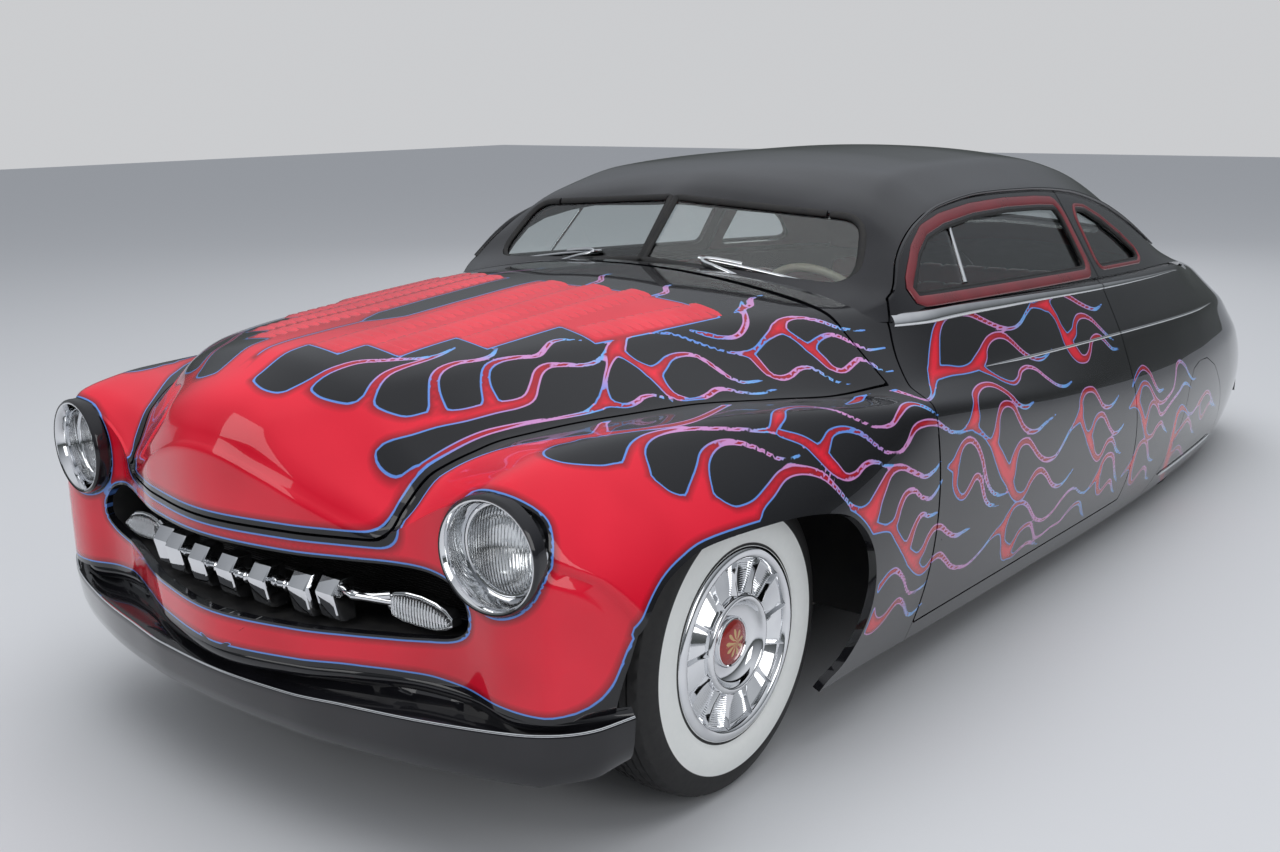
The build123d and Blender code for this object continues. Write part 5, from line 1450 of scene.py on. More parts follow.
def side_trim(name, index, y_front, y_rear, lift, section, ys_of_width, widths):
    """Chrome along one place of the skin, parted where the door ends."""
    for label, y_from, y_to, bodies in (("door", y_front, door_rear_belt_y - 3, DOORS),
                                        ("quarter", door_rear_belt_y + 5, y_rear, FIXED)):
        ys = np.linspace(y_from, y_to, 60)
        path, out = skin_path(index, ys, lift)
        both(name + "_" + label, path, section, out, chrome, "chrome", bodies,
             taper=np.interp(ys, ys_of_width, widths))


side_trim("belt_moulding", belt_index, -962, 1330, 1.5, domed(9, 20), (-1040, -300, 600, 1330),
          (1.0, 0.7, 0.45, 0.12))

# %% Drip rail over the doors and back to the deck
ys = np.linspace(-925, 1270, 120)
spot = roof_sections(ys)[:, ROOF_SEGMENTS[0]]
path = np.stack([spot[:, 0], ys, spot[:, 1]], axis=1) + (3, 0, 3)
both("drip_rail", path, oval(8, 5), (0.8, 0, 0.6), black_paint, "black_paint",
     taper=np.interp(ys, [-925, -800, 1000, 1270], [0.5, 1, 1, 0.4]))


# %% [markdown]
# ## Gaskets and window frames
# Black rubber holds each pane. The door window also has a maroon inner frame and an upright
# chrome bar behind its vent pane.

# %% Gaskets
def on_roof(y, z, lift=0.0):
    """Points of the roof's side at given y and z, moved outwards by lift."""
    y, z = np.asarray(y, float), np.asarray(z, float)
    side = roof_sections(y)[:, :ROOF_SEGMENTS[0] + 6]
    x = np.array([np.interp(level, row[:, 1], row[:, 0]) for level, row in zip(z, side)])
    lean = side[:, -8] - side[:, 4]
    lean /= np.linalg.norm(lean, axis=1)[:, None]
    out = np.stack([lean[:, 1], np.zeros(len(y)), -lean[:, 0]], axis=1)
    return np.stack([x, y, z], axis=1) + out * lift, out


def resampled(outline, gap, inset=0.0):
    """A closed outline in even steps, moved inwards by inset."""
    pts = np.vstack([outline, outline[:1]])
    length = np.concatenate([[0], np.cumsum(np.hypot(*np.diff(pts, axis=0).T))])
    place = np.arange(0, length[-1] - gap / 2, gap)
    even = np.stack([np.interp(place, length, pts[:, k]) for k in (0, 1)], axis=1)
    along = np.roll(even, -1, axis=0) - np.roll(even, 1, axis=0)
    along /= np.hypot(*along.T)[:, None]
    normal = np.stack([-along[:, 1], along[:, 0]], axis=1)
    centre = even.mean(axis=0)
    if np.mean(np.sum(normal * (centre - even), axis=1)) < 0:
        normal = -normal
    return even + normal * inset


for label, edge, wide, bodies in (("door_window", WINDOW_EDGE, 16.0, DOORS),
                                  ("quarter_window", QUARTER_EDGE, 7.0, FIXED)):
    line = resampled(edge, 12.0, 2.0)
    path, out = on_roof(line[:, 0], line[:, 1], -6.0)
    both(label + "_gasket", path, oval(7, 6), out, rubber, "black_paint", bodies, closed=True)
    line = resampled(edge, 12.0, -wide - 4.0)
    path, out = on_roof(line[:, 0], line[:, 1], 0.5)
    both(label + "_frame", path, domed(3.5, wide), out, maroon_paint, "body_paint", bodies, closed=True)

vent_foot, vent_head = (-536.0, 1000.0), (-470.0, 1148.0)
line = np.linspace(vent_foot, vent_head, 10)
path, out = on_roof(line[:, 0], line[:, 1], -12.0)
both("vent_bar", path, domed(5, 7), out, chrome, "chrome", DOORS)

# %% Windshield: two panes, their gasket and the seam strip
seam_half, pane_outer, pane_inner = 2.0, 0.5, 5.5       # millimetres


def on_pane(points, side=1):
    """Points of (u, v, lift) on the left pane, or on the right one with side -1."""
    return (PANE[0] + np.asarray(points, float) @ np.array([pane_u, pane_v, pane_n])) * (side, 1, 1)


line = resampled(pane_wide, 10.0, 1.0)
line = np.roll(line, -int(np.argmin(line[:, 0])), axis=0)
spots = on_pane(np.column_stack([line, np.zeros(len(line))]))
pane_spots = spots[spots[:, 0] > seam_half]
turn_at = int(np.argmax(np.linalg.norm(np.diff(pane_spots, axis=0), axis=1))) + 1
pane_spots = np.roll(pane_spots, -turn_at, axis=0) if turn_at < len(pane_spots) - 1 else pane_spots
first, last = pane_spots[0].copy(), pane_spots[-1].copy()


def seam_point(spot, toward):
    """Where the edge of the pane meets the centre seam."""
    step = toward - spot
    return spot + step * ((spot[0] - seam_half) / -step[0] if abs(step[0]) > 1e-6 else 0)


pane_spots = np.vstack([seam_point(first, 2 * first - pane_spots[1]), pane_spots,
                        seam_point(last, 2 * last - pane_spots[-2])])
shape = bmesh.new()
for mirror_side in (1, -1):
    front = [shape.verts.new(p * (mirror_side, 1, 1) * MM) for p in pane_spots - pane_n * pane_outer]
    back = [shape.verts.new(p * (mirror_side, 1, 1) * MM) for p in pane_spots - pane_n * pane_inner]
    shape.faces.new(front)
    shape.faces.new(back[::-1])
    for k in range(len(front)):
        shape.faces.new((front[k], back[k], back[(k + 1) % len(back)], front[(k + 1) % len(front)]))
put(finished("windshield_panes", shape, clear_glass), "clear_glass", "root", "windshield")

gasket_line = pane_spots + pane_n * 2
both("windshield_gasket", gasket_line[1:-1], oval(7, 11), pane_n, rubber, "black_paint")
seam_line = np.linspace(pane_spots[0], pane_spots[-1], 12) * (0, 1, 1)
put(bar("windshield_seam", seam_line, domed(2.5, 2.5), (0, -0.75, 0.66), rubber), "black_paint")

# %% Rear window gasket
ys = np.linspace(1050, 1560, 90)
section = roof_sections(ys)
rear_rows = []
for x, z in resampled(REAR_EDGE, 12.0, 1.0):
    heights = np.array([np.interp(abs(x), row[::-1, 0], row[::-1, 1]) for row in section])
    rear_rows.append((x, np.interp(-z, -heights, ys), z))
put(bar("rear_window_gasket", rear_rows, oval(8, 8), (0, 0.55, 0.83), rubber, closed=True), "black_paint")

# %% [markdown]
# ## Bumper and pan
# The blade is a thin black band with a polished lip. It follows the nose in plan and curls under.
# The pan between it and the red nose has a rolled upper edge with a dark recess below.

# %% Lofted rings
def loft(name, rings, material, capped=True, angle=35):
    """A mesh through rings of equal count, each a closed section, in millimetres."""
    shape = bmesh.new()
    rows = [[shape.verts.new(Vector(p) * MM) for p in ring] for ring in rings]
    bridge(shape, rows)
    if capped:
        shape.faces.new(rows[0][::-1])
        shape.faces.new(rows[-1])
    return finished(name, shape, material, angle)


# %% Bumper blade, its lip and the pan
LIP = [(0, -2492, 331), (221, -2484, 336), (376, -2463, 344), (512, -2437, 347), (636, -2404, 349),
       (749, -2367, 352), (821, -2336, 359), (880, -2296, 371), (918, -2225, 383)]
PAN_EDGE = [(0, -2484, 386), (230, -2448, 391), (344, -2411, 396), (485, -2358, 395), (608, -2340, 389),
            (701, -2350, 384), (790, -2322, 382), (862, -2262, 386), (905, -2212, 386)]
station_count, blade_half, end_run = 61, 918, 260.0


def along(points, count):
    """Smooth points along a half curve, mirrored to the other side."""
    pts = np.array(points, float)
    length = np.concatenate([[0], np.cumsum(np.linalg.norm(np.diff(pts, axis=0), axis=1))])
    knots = np.concatenate([-length[:0:-1], length])
    half = smooth_through(knots, np.vstack([pts[:0:-1] * (-1, 1, 1), pts]), np.linspace(0, length[-1], count))
    return np.vstack([half[:0:-1] * (-1, 1, 1), half])


lip = along(LIP, station_count)
edge = along(PAN_EDGE, station_count)
run_dir = np.gradient(lip, axis=0)
out = np.stack([run_dir[:, 1], -run_dir[:, 0], np.zeros(len(lip))], axis=1)
out /= np.linalg.norm(out, axis=1)[:, None]
up = np.array([0.0, 0.0, 1.0])
end_share = np.clip((blade_half - np.abs(lip[:, 0])) / end_run, 0, 1)
blade_rings, pan_rings = [], []
for spot, top, n, share in zip(lip, edge, out, end_share):
    deep = spot[2] - np.interp(abs(spot[0]), (0, 780, 889, blade_half), (240, 240, 268, 290))
    face = [(0, 0), (1.5, -4), (1.0, -12), (-1, -deep * 0.3), (-5, -deep * 0.6), (-12, -deep * 0.85),
            (-22, -deep), (-26, -deep + 3), (-18, -deep * 0.8), (-12, -deep * 0.5), (-9, -16), (-8, -3), (-5, 0)]
    blade_rings.append([spot + n * a + up * b for a, b in face])
    hollow = 6 + 34 * share
    middle = (spot + top) / 2
    pan_rings.append([
        top - n * 12 + up * 6, top - n * 3 - up * 2, top + n * 1.5 - up * 10, top + n * 2 - up * 20,
        top - n * 3 - up * 29, middle - n * hollow - up * 10, middle - n * hollow - up * 30,
        spot - n * 16 - up * 14, spot - n * 10 - up * 18, spot - n * 14 - up * 26,
        middle - n * (hollow + 10) - up * 36, middle - n * (hollow + 12) + up * 6, top - n * 20 - up * 20,
        top - n * 22 + up * 2])
put(loft("bumper_blade", blade_rings, black_paint), "black_paint", "root", "front_bumper")
put(loft("bumper_pan", pan_rings, black_paint), "black_paint", "root", "front_pan")
put(bar("bumper_lip", lip - out * 2 + up * 1.5, oval(2.6, 2.6, 10), out, chrome), "chrome")


# %% [markdown]
# ## Headlights
# A chrome bowl sunk into the fender, a black collar that meets the paint, a silvered reflector
# and a ribbed lens. All are turned shapes about the lamp's own axis.

# %% Turned shapes
axis_merge = 0.00002        # metres


def turned(name, profile, place, material, turn, steps=72, angle=35):
    """Revolve a closed profile of (along, radius) points round the axis that turn sends +X to."""
    place = Vector(place) * MM
    angles = [2 * math.pi * k / steps for k in range(steps)]
    shape = bmesh.new()
    rings = []
    for along_x, radius in profile:
        ring = [Vector((along_x, radius * math.cos(a), radius * math.sin(a))) for a in angles]
        rings.append([shape.verts.new(place + turn @ (v * MM)) for v in ring])
    bridge(shape, rings, closed=True)
    bmesh.ops.remove_doubles(shape, verts=shape.verts, dist=axis_merge)
    return finished(name, shape, material, angle)


lens_glass, nodes, links, shader = new_material("ribbed_lens", (0.96, 0.97, 0.97), 0.03)
shader.inputs["Transmission Weight"].default_value = 1.0
shader.inputs["IOR"].default_value = glass_ior
ribs = texture(nodes, links, "Wave", 42.0)
ribs.bands_direction = "X"
bumped(nodes, links, shader, ribs.outputs["Fac"], Strength=0.5, Distance=0.002)
silvered = two_tone("silvered", (0.90, 0.91, 0.92), (0.84, 0.85, 0.87), 0.09, metal=1.0, scale=14, bump=0.02)

lamp_tilt = math.radians(5.6)
COLLAR = [(30, 117), (52, 117), (58, 115.5), (62, 112), (61, 109), (55, 108), (30, 108)]
BOWL = [(59, 110.5), (61, 109), (60, 106), (52, 101), (36, 97.5), (16, 95.5), (2, 94), (-4, 92), (-4, 98),
        (30, 104), (50, 108)]
LENS_RING = [(-2, 94.5), (6, 93.5), (9, 90), (8, 86.5), (3, 84.5), (-3, 85), (-6, 90)]
REFLECTOR = [(1, 84.4), (-14, 78), (-30, 66), (-44, 48), (-52, 28), (-56, 8), (-56, 0), (-60, 0), (-60, 10),
             (-55, 32), (-46, 52), (-32, 70), (-14, 83), (-1, 88)]
LENS = [(2, 85), (7, 80), (13, 62), (17, 40), (19, 18), (19.5, 0), (16.5, 0), (16, 18), (14, 40), (10, 62),
        (4, 78), (0, 83)]
SHIELD = [(-26, 0), (-24, 9), (-18, 15), (-14, 15.5), (-15, 14), (-20, 8), (-22, 0)]
SIDES = ((1, "left"), (-1, "right"))
for side, label in SIDES:
    face = Matrix.Rotation(math.radians(-90) + side * lamp_tilt, 3, "Z")
    origin = (side * 687, -2313, lamp_z)
    for name, profile, material, slot, node in (
            ("headlight_collar", COLLAR, black_paint, "black_paint", None),
            ("headlight_bowl", BOWL, chrome, "chrome", "headlight_rims"),
            ("headlight_ring", LENS_RING, chrome, "chrome", None),
            ("headlight_reflector", REFLECTOR, silvered, "chrome", None),
            ("headlight_shield", SHIELD, chrome, "chrome", None),
            ("headlight_lens", LENS, lens_glass, "clear_glass", "front_lenses")):
        put(turned(name + "_" + label, profile, origin, material, face), slot, "root",
            *([node] if node and side > 0 else []))

# %% [markdown]
# ## Grille
# Seven chrome teeth on a bowed bar, and park lamps in pointed chrome pods at its ends.

# %% Teeth
TOOTH_X = (-283, -215, -105, 0, 105, 215, 283)
tooth_y, tooth_half, grille_bow = -2404, 28.0, 0.00045
TOOTH_SIDE = [(-46, 6), (-46, 26), (-43, 37), (-36, 44), (-22, 48), (0, 53), (15, 57), (19, 56.5), (46, 36),
              (46, 0), (-46, 0)]
for number, tooth_x in enumerate(TOOTH_X):
    back_y = tooth_y + tooth_x * tooth_x * grille_bow
    rings = []
    for share, reach in ((-1, 0.84), (-0.97, 0.93), (-0.86, 0.985), (-0.4, 1.0), (0, 1.0), (0.4, 1.0),
                         (0.86, 0.985), (0.97, 0.93), (1, 0.84)):
        rings.append([(tooth_x + tooth_half * share, back_y - depth_out * reach, 530 + height * (0.6 + 0.4 * reach))
                      for height, depth_out in TOOTH_SIDE])
    put(loft("grille_tooth_%d" % (number + 1), rings, chrome, angle=28), "chrome")
bar_line = along([(0, -2427, 534), (204, -2396, 534), (330, -2362, 534), (400, -2340, 532)], 30)
put(bar("grille_rod", bar_line, oval(12, 11, 20), (0, -1, 0), chrome), "chrome", "root", "grille_bar")
BEAD = [(-6, 11), (-4, 15), (0, 16.5), (4, 15), (6, 11)]
for number, (left, right) in enumerate(zip(TOOTH_X, TOOTH_X[1:])):
    middle = (left + right) / 2
    if abs(right - left) > 80:
        for shift in (-7, 7):
            spot = bar_line[np.argmin(np.abs(bar_line[:, 0] - middle - shift))]
            put(turned("grille_bead_%d_%s" % (number, "a" if shift < 0 else "b"), BEAD,
                       (middle + shift, spot[1], 534), chrome, Matrix.Identity(3), steps=28), "chrome")

# %% Park lamp pods
POD = [(392, 516, 545), (410, 503, 556), (440, 496, 561), (480, 493, 560), (515, 494, 553), (540, 500, 543),
       (556, 510, 528)]
pod_x, pod_y, pod_slope = 392, -2352, 0.10
turns = np.linspace(0, 2 * math.pi, 20, endpoint=False)
for side, label in SIDES:
    shell_rings, lens_rings = [], []
    for x, low, high in POD:
        y = pod_y + (x - pod_x) * pod_slope
        mid, half = (low + high) / 2, (high - low) / 2
        shell_rings.append([(side * x, y + (0 if math.cos(t) >= 0 else 1) * 26 + (1 - abs(math.cos(t))) * 3,
                             mid + half * math.sin(t)) for t in turns])
    put(loft("park_lamp_pod_" + label, shell_rings, chrome), "chrome")
    for x, low, high in POD[1:]:
        y = pod_y - 1 + (x - pod_x) * pod_slope
        mid, half = (low + high) / 2 - 1.0, max((high - low) / 2 - 5.0, 3.0)
        lens_rings.append([(side * (x - 2), y - (7 if math.cos(t) > 0 else -1) * abs(math.cos(t)) ** 0.6,
                            mid + half * math.sin(t)) for t in turns])
    put(loft("park_lamp_lens_" + label, lens_rings, lens_glass), "clear_glass")
    put(bar("park_lamp_arm_" + label, [(side * 300, -2372, 540), (side * 330, -2364, 536), (side * 360, -2354, 538),
                                       (side * 398, -2343, 545)], oval(9, 11, 16), (0, -1, 0), chrome,
            taper=[1.0, 0.8, 0.9, 1.2]), "chrome")

# %% [markdown]
# ## Wheels
# A wide whitewall tyre with a ribbed tread, and a chrome cover: a smooth outer ring, a sunken band
# of fine rings crossed by radial blades, and a dish with a small enamel medallion. The rubber and
# the cover replace the CAD tyre and wheel of each corner and turn with them.

# %% Rubber with a whitewall
white_band = (0.2235, 0.2905)      # metres from the axle
band_blur = 0.0006
tyre_rubber, nodes, links, shader = new_material("tyre_rubber", (0.013, 0.013, 0.014), 0.55)
shader.inputs["Specular IOR Level"].default_value = 0.35
in_band = calculated(nodes, links, "MULTIPLY", *[
    ranged(nodes, links, stored(nodes, "radius"), edge - band_blur, edge + band_blur, *ends)
    for edge, ends in zip(white_band, ((0, 1), (1, 0)))])
is_white = calculated(nodes, links, "MULTIPLY", in_band, stored(nodes, "outboard"))
mask = uneven(nodes, links, shader, 70, 0.12)
dark = mixed(nodes, links, mask, (0.010, 0.010, 0.011), (0.028, 0.027, 0.026))
pale = mixed(nodes, links, mask, (0.80, 0.82, 0.80), (0.86, 0.87, 0.85))
links.new(mixed(nodes, links, is_white, dark, pale), shader.inputs["Base Color"])

# %% Tyre
TYRE_SIDE = [(70, 196), (80, 204), (86, 214), (88.5, 221), (87.5, 224), (92, 236), (95, 256), (95, 276),
             (92.5, 289), (92.5, 292), (90, 306), (84, 322), (76, 334)]
TREAD = [(74, 338, 0), (66, 343, 1), (56, 346, 0), (54, 341, 0), (51, 341, 0), (49, 346.5, 1), (36, 348, 0),
         (34, 342, 0), (31, 342, 0), (29, 348.5, 1), (14, 349.5, 0), (12, 343, 0), (9, 343, 0), (7, 350, 1)]
tread_steps, sipe_spacing, sipe_depth = 150, 3, 3.5
wheel_place_x, axle_height = 743.0, 350.0
front_axle, rear_axle_line = -1755.0, 1242.0


def tyre_profile():
    """Half section out to in, then mirrored: (x, radius, whether a sipe cuts it)."""
    half = [(x, r, 0) for x, r in TYRE_SIDE] + TREAD
    return half + [(-x, r, cut) for x, r, cut in reversed(half)]


def places_of(piece, centre):
    """A piece's points as rows of x, y, z in metres from a centre in millimetres."""
    place = np.empty(len(piece.data.vertices) * 3)
    piece.data.vertices.foreach_get("co", place)
    return place.reshape(-1, 3) - np.array(centre) * MM


def tyre(name, side, y, body, node):
    """A tyre that also keeps each point's radius for the white band."""
    shape = bmesh.new()
    rings = []
    for k in range(tread_steps):
        a = 2 * math.pi * k / tread_steps
        ring = []
        for x, r, sipe in tyre_profile():
            if sipe and k % sipe_spacing == 0:
                r -= sipe_depth
            ring.append(shape.verts.new(Vector((side * (wheel_place_x + x), y + r * math.cos(a),
                                                axle_height + r * math.sin(a))) * MM))
        rings.append(ring)
    bridge(shape, rings, closed=True)
    piece = put(finished(name, shape, tyre_rubber, 40), "tyre_rubber", body, node)
    place = places_of(piece, (0, y, axle_height))
    store(piece.data, "radius", np.hypot(place[:, Y], place[:, Z]))
    store(piece.data, "outboard", np.abs(place[:, X]) > wheel_place_x * MM)


# %% Wheel cover
cover_floor, ring_count = 79.0, 15
RING_START, RING_END = 186.0, 116.0
COVER = [(70, 190), (70, 212), (78, 216), (84, 218.5), (89, 218.5), (93, 215), (95.5, 209), (96.5, 201),
         (95, 195), (91, 191.5), (86, 189.5), (81, 188)]
for r in np.linspace(RING_START, RING_END, ring_count):
    COVER += [(cover_floor + 1.6, r), (cover_floor - 0.6, r - 2.4)]
COVER += [(84, 113), (90, 111.5), (94, 108), (95.5, 103), (94.5, 99), (90, 96), (84, 94), (77, 90), (71, 84),
          (67, 74), (66, 64), (66, 57), (60, 57), (60, 180), (64, 190)]
MEDALLION_RIM = [(64, 58), (72, 57.5), (76, 55), (77, 52.5), (75, 50.5), (64, 50)]
MEDALLION = [(64, 50.5), (74, 50), (78, 42), (81, 28), (83, 12), (83.5, 0), (64, 0)]
BLADE_RUN = [(188.5, 93.5, 5.0), (180, 92.5, 6.0), (160, 89.5, 7.0), (140, 88.5, 8.0), (122, 91.5, 9.5),
             (113, 93.0, 11.0)]
blade_total, blade_phase, petal_total = 13, 0.35, 9
gold_reach, petal_depth = 0.026, 0.006       # metres from the axle

enamel, nodes, links, shader = new_material("medallion_enamel", (0.35, 0.02, 0.015), 0.22, 0.3, 0.8)
petals = calculated(nodes, links, "SINE", stored(nodes, "turning"))
petal_edge = calculated(nodes, links, "MULTIPLY_ADD", petals, petal_depth, gold_reach)
inside_gold = calculated(nodes, links, "LESS_THAN", stored(nodes, "radius"), petal_edge)
gold_spokes = mixed(nodes, links, ranged(nodes, links, petals, -0.2, 0.2, 0, 1), (0.42, 0.03, 0.02),
                    (0.62, 0.40, 0.16))
links.new(mixed(nodes, links, inside_gold, (0.36, 0.02, 0.015), gold_spokes), shader.inputs["Base Color"])
uneven(nodes, links, shader, 150, 0.5)


def wheel_cover(name, side, y, body, node):
    """Cover, dish ring, medallion and blades of one wheel."""
    face = Matrix.Identity(3) if side > 0 else Matrix.Rotation(math.pi, 3, "Z")
    centre = (side * wheel_place_x, y, axle_height)
    put(turned(name, COVER, centre, chrome, face, steps=96, angle=50), "chrome", body, node)
    put(turned(name + "_dish_ring", MEDALLION_RIM, centre, chrome, face, steps=48), "chrome", body)
    badge = put(turned(name + "_medallion", MEDALLION, centre, enamel, face), "chrome", body)
    place = places_of(badge, (0, y, axle_height))
    store(badge.data, "radius", np.hypot(place[:, Y], place[:, Z]))
    store(badge.data, "turning", np.arctan2(place[:, Z], place[:, Y]) * petal_total)
    shape = bmesh.new()
    foot = cover_floor - 3
    for k in range(blade_total):
        a = 2 * math.pi * (k + blade_phase) / blade_total
        radial, across = Vector((0, math.cos(a), math.sin(a))), Vector((0, -math.sin(a), math.cos(a)))
        rows = []
        for r, top, half in BLADE_RUN:
            section = [(foot, -half), (top - 3, -1.7), (top, -0.8), (top, 0.8), (top - 3, 1.7), (foot, half)]
            rows.append([shape.verts.new((Vector(centre) + face @ (Vector((h, 0, 0)) + radial * r + across * w))
                                         * MM) for h, w in section])
        bridge(shape, rows)
        shape.faces.new(rows[0])
        shape.faces.new(rows[-1][::-1])
    put(finished(name + "_blades", shape, chrome, 25), "chrome", body)


for corner, side, y in (("fl", 1, front_axle), ("fr", -1, front_axle), ("rl", 1, rear_axle_line),
                        ("rr", -1, rear_axle_line)):
    tyre("tyre_rubber_" + corner, side, y, "wheel_" + corner, "tyre_" + corner)
    wheel_cover("wheel_cover_" + corner, side, y, "wheel_" + corner, "wheel_" + corner)
print("wheels done")

# %% [markdown]
# ## Hood louvres
# Rows of short slots are pressed into the red field of the hood. Each is a small raised scoop that
# opens to the rear, laid on the skin and turned with it.

# %% Louvres
louvre_pitch, louvre_sink, louvre_end_slope = 30.0, 0.6, 6.4
# inner x, outer x, front y, rear y of each row
LOUVRE_ROWS = [(71, 151, -2225, -1500), (173, 253, -2150, -1450), (267, 346, -1990, -1400)]
# inner x, outer x, y at the front and at the rear of the outermost row, which spreads
WIDE_FRONT, WIDE_REAR = np.array([381, 454, -1740]), np.array([431, 528, -1380])
SCOOP = [(-13, 0.0), (-8, 1.8), (-2, 4.2), (3, 6.0), (6, 6.4), (7, 4.8), (7, -2.0)]
scoop_front, scoop_rear = SCOOP[0][0], SCOOP[-1][0]


def hood_height(x, y):
    """Height of the hood's skin at x and y."""
    section = body_sections(np.array([y]))[0][VALLEY:]
    return float(np.interp(abs(x), section[::-1, 0], section[::-1, 1]))


shape = bmesh.new()
spots = [(low, high, y) for low, high, front, rear in LOUVRE_ROWS for y in np.arange(front, rear, louvre_pitch)]
spread = WIDE_REAR - WIDE_FRONT
spots += [tuple(WIDE_FRONT + spread * t) for t in np.arange(0, 1.001, louvre_pitch / spread[2])]
for low, high, y in spots:
    rows = []
    for t in np.linspace(0, 1, 7):
        x = low + (high - low) * t
        swell = min(1.0, louvre_end_slope * t * (1 - t))
        z_front, z_rear = hood_height(x, y + scoop_front), hood_height(x, y + scoop_rear)
        row = []
        for dy, dz in SCOOP:
            dy *= 0.75 + 0.25 * swell
            on_skin = z_front + (z_rear - z_front) * (dy - scoop_front) / (scoop_rear - scoop_front)
            row.append((x, y + dy, on_skin + (dz * swell if dz > 0 else dz) - louvre_sink))
        rows.append(row)
    for side in (1, -1):
        bridge(shape, [[shape.verts.new(Vector((side * x, yy, zz)) * MM) for x, yy, zz in row] for row in rows],
               wrap=False)
louvre_red = two_tone("louvre_red", (0.66, 0.006, 0.028), (0.80, 0.02, 0.045), 0.22, coat=1.0, scale=4, bump=0.01)
put(finished("hood_louvres", shape, louvre_red, 50), "body_paint", "hood")

# %% [markdown]
# ## Wipers and the last bright trim
# Each wiper is a bent chrome arm on a cowl pivot, with a rubber blade in a chrome holder. All of
# them are placed in the windshield's own plane, so they lie on the glass.

# %% Wipers
HUB = [(-8, 15), (2, 15), (5, 13), (12, 11), (16, 7), (18, 0), (-8, 0)]
# (u, v, lift) on the pane
ARM = through_points([(352, -30, 13), (310, -16, 20), (250, -2, 24), (205, 10, 22), (196, 20, 19), (214, 27, 18),
                      (260, 28, 16), (315, 26, 14)], False, 6)
blade_from, blade_to = 175, 515
HOLDER = [(u, 30 - (u - blade_from) * 0.085, 9 + 3 * math.sin((u - blade_from) / (blade_to - blade_from) * math.pi))
          for u in np.linspace(blade_from, blade_to, 20)]
for side, label in SIDES:
    out = pane_n * (side, 1, 1)
    lean = Vector(out).to_track_quat("X", "Z").to_matrix()
    pivot = on_pane([(352, -30, 0)], side)[0]
    put(turned("wiper_pivot_" + label, HUB, pivot, chrome, lean, steps=32), "chrome", "root",
        *(["wipers"] if side < 0 else []))
    put(bar("wiper_arm_" + label, on_pane(ARM, side), oval(3.2, 5.0, 12), out, chrome), "chrome")
    holder = on_pane(HOLDER, side)
    put(bar("wiper_holder_" + label, holder, oval(2.6, 4.0, 10), out, chrome), "chrome")
    put(bar("wiper_blade_" + label, holder - out * 6.0, [(-4, -1), (-4, 1), (4, 2.6), (4, -2.6)], out, rubber),
        "black_paint")

# %% Door spear, skirt strip and rear bumper lip
side_trim("spear_trim", VALLEY, -620, 1650, 0.5, domed(3.5, 4.5), (-620, -400, 1400, 1650), (0.25, 1, 1, 0.2))
skirt_index = 10
ys = np.linspace(860, 1600, 40)
path, out = skin_path(skirt_index, ys, 3.0)
both("skirt_strip", path, domed(4, 9), out, chrome, "chrome",
     taper=np.interp(ys, [860, 900, 1560, 1600], [0.3, 1, 1, 0.3]))
rear_lip = through_points([(-800, 2255, 332), (-660, 2370, 332), (-440, 2452, 332), (-200, 2481, 330),
                           (0, 2487, 330), (200, 2481, 330), (440, 2450, 331), (660, 2370, 332),
                           (800, 2255, 332)], False, 8)
put(bar("rear_bumper_lip", rear_lip, oval(3, 5, 12), (0, 0.3, 0.95), chrome), "chrome")

# %% [markdown]
# ## Cabin
# The benches are padded: a closed form that swells between its seams. Cloth is blown up a little
# over each block, then the sewn channels are pressed in. Rolls and channels run front to back.

# %% Padded vinyl
seat_maroon, nodes, links, shader = new_material("seat_maroon", (0.20, 0.012, 0.018), 0.42)
shader.inputs["Sheen Weight"].default_value = 0.15
wear = texture(nodes, links, "Noise", 7)
links.new(mixed(nodes, links, ranged(nodes, links, wear.outputs["Fac"], 0.4, 0.65, 0, 1), (0.17, 0.010, 0.015),
                (0.26, 0.022, 0.028)), shader.inputs["Base Color"])
grain = texture(nodes, links, "Voronoi", 420)
bumped(nodes, links, shader, grain.outputs["Distance"], Strength=0.25, Distance=0.0006)
channel_gap, seam_width, seam_depth = 92.0, 7.0, 8.0      # millimetres
seat_voxel = 0.013
cloth_pressure, cloth_frames = 4.0, 20


def positions(piece, what="co"):
    """The points of a piece, or their normals, as rows."""
    return np.array([getattr(v, what) for v in piece.data.vertices])


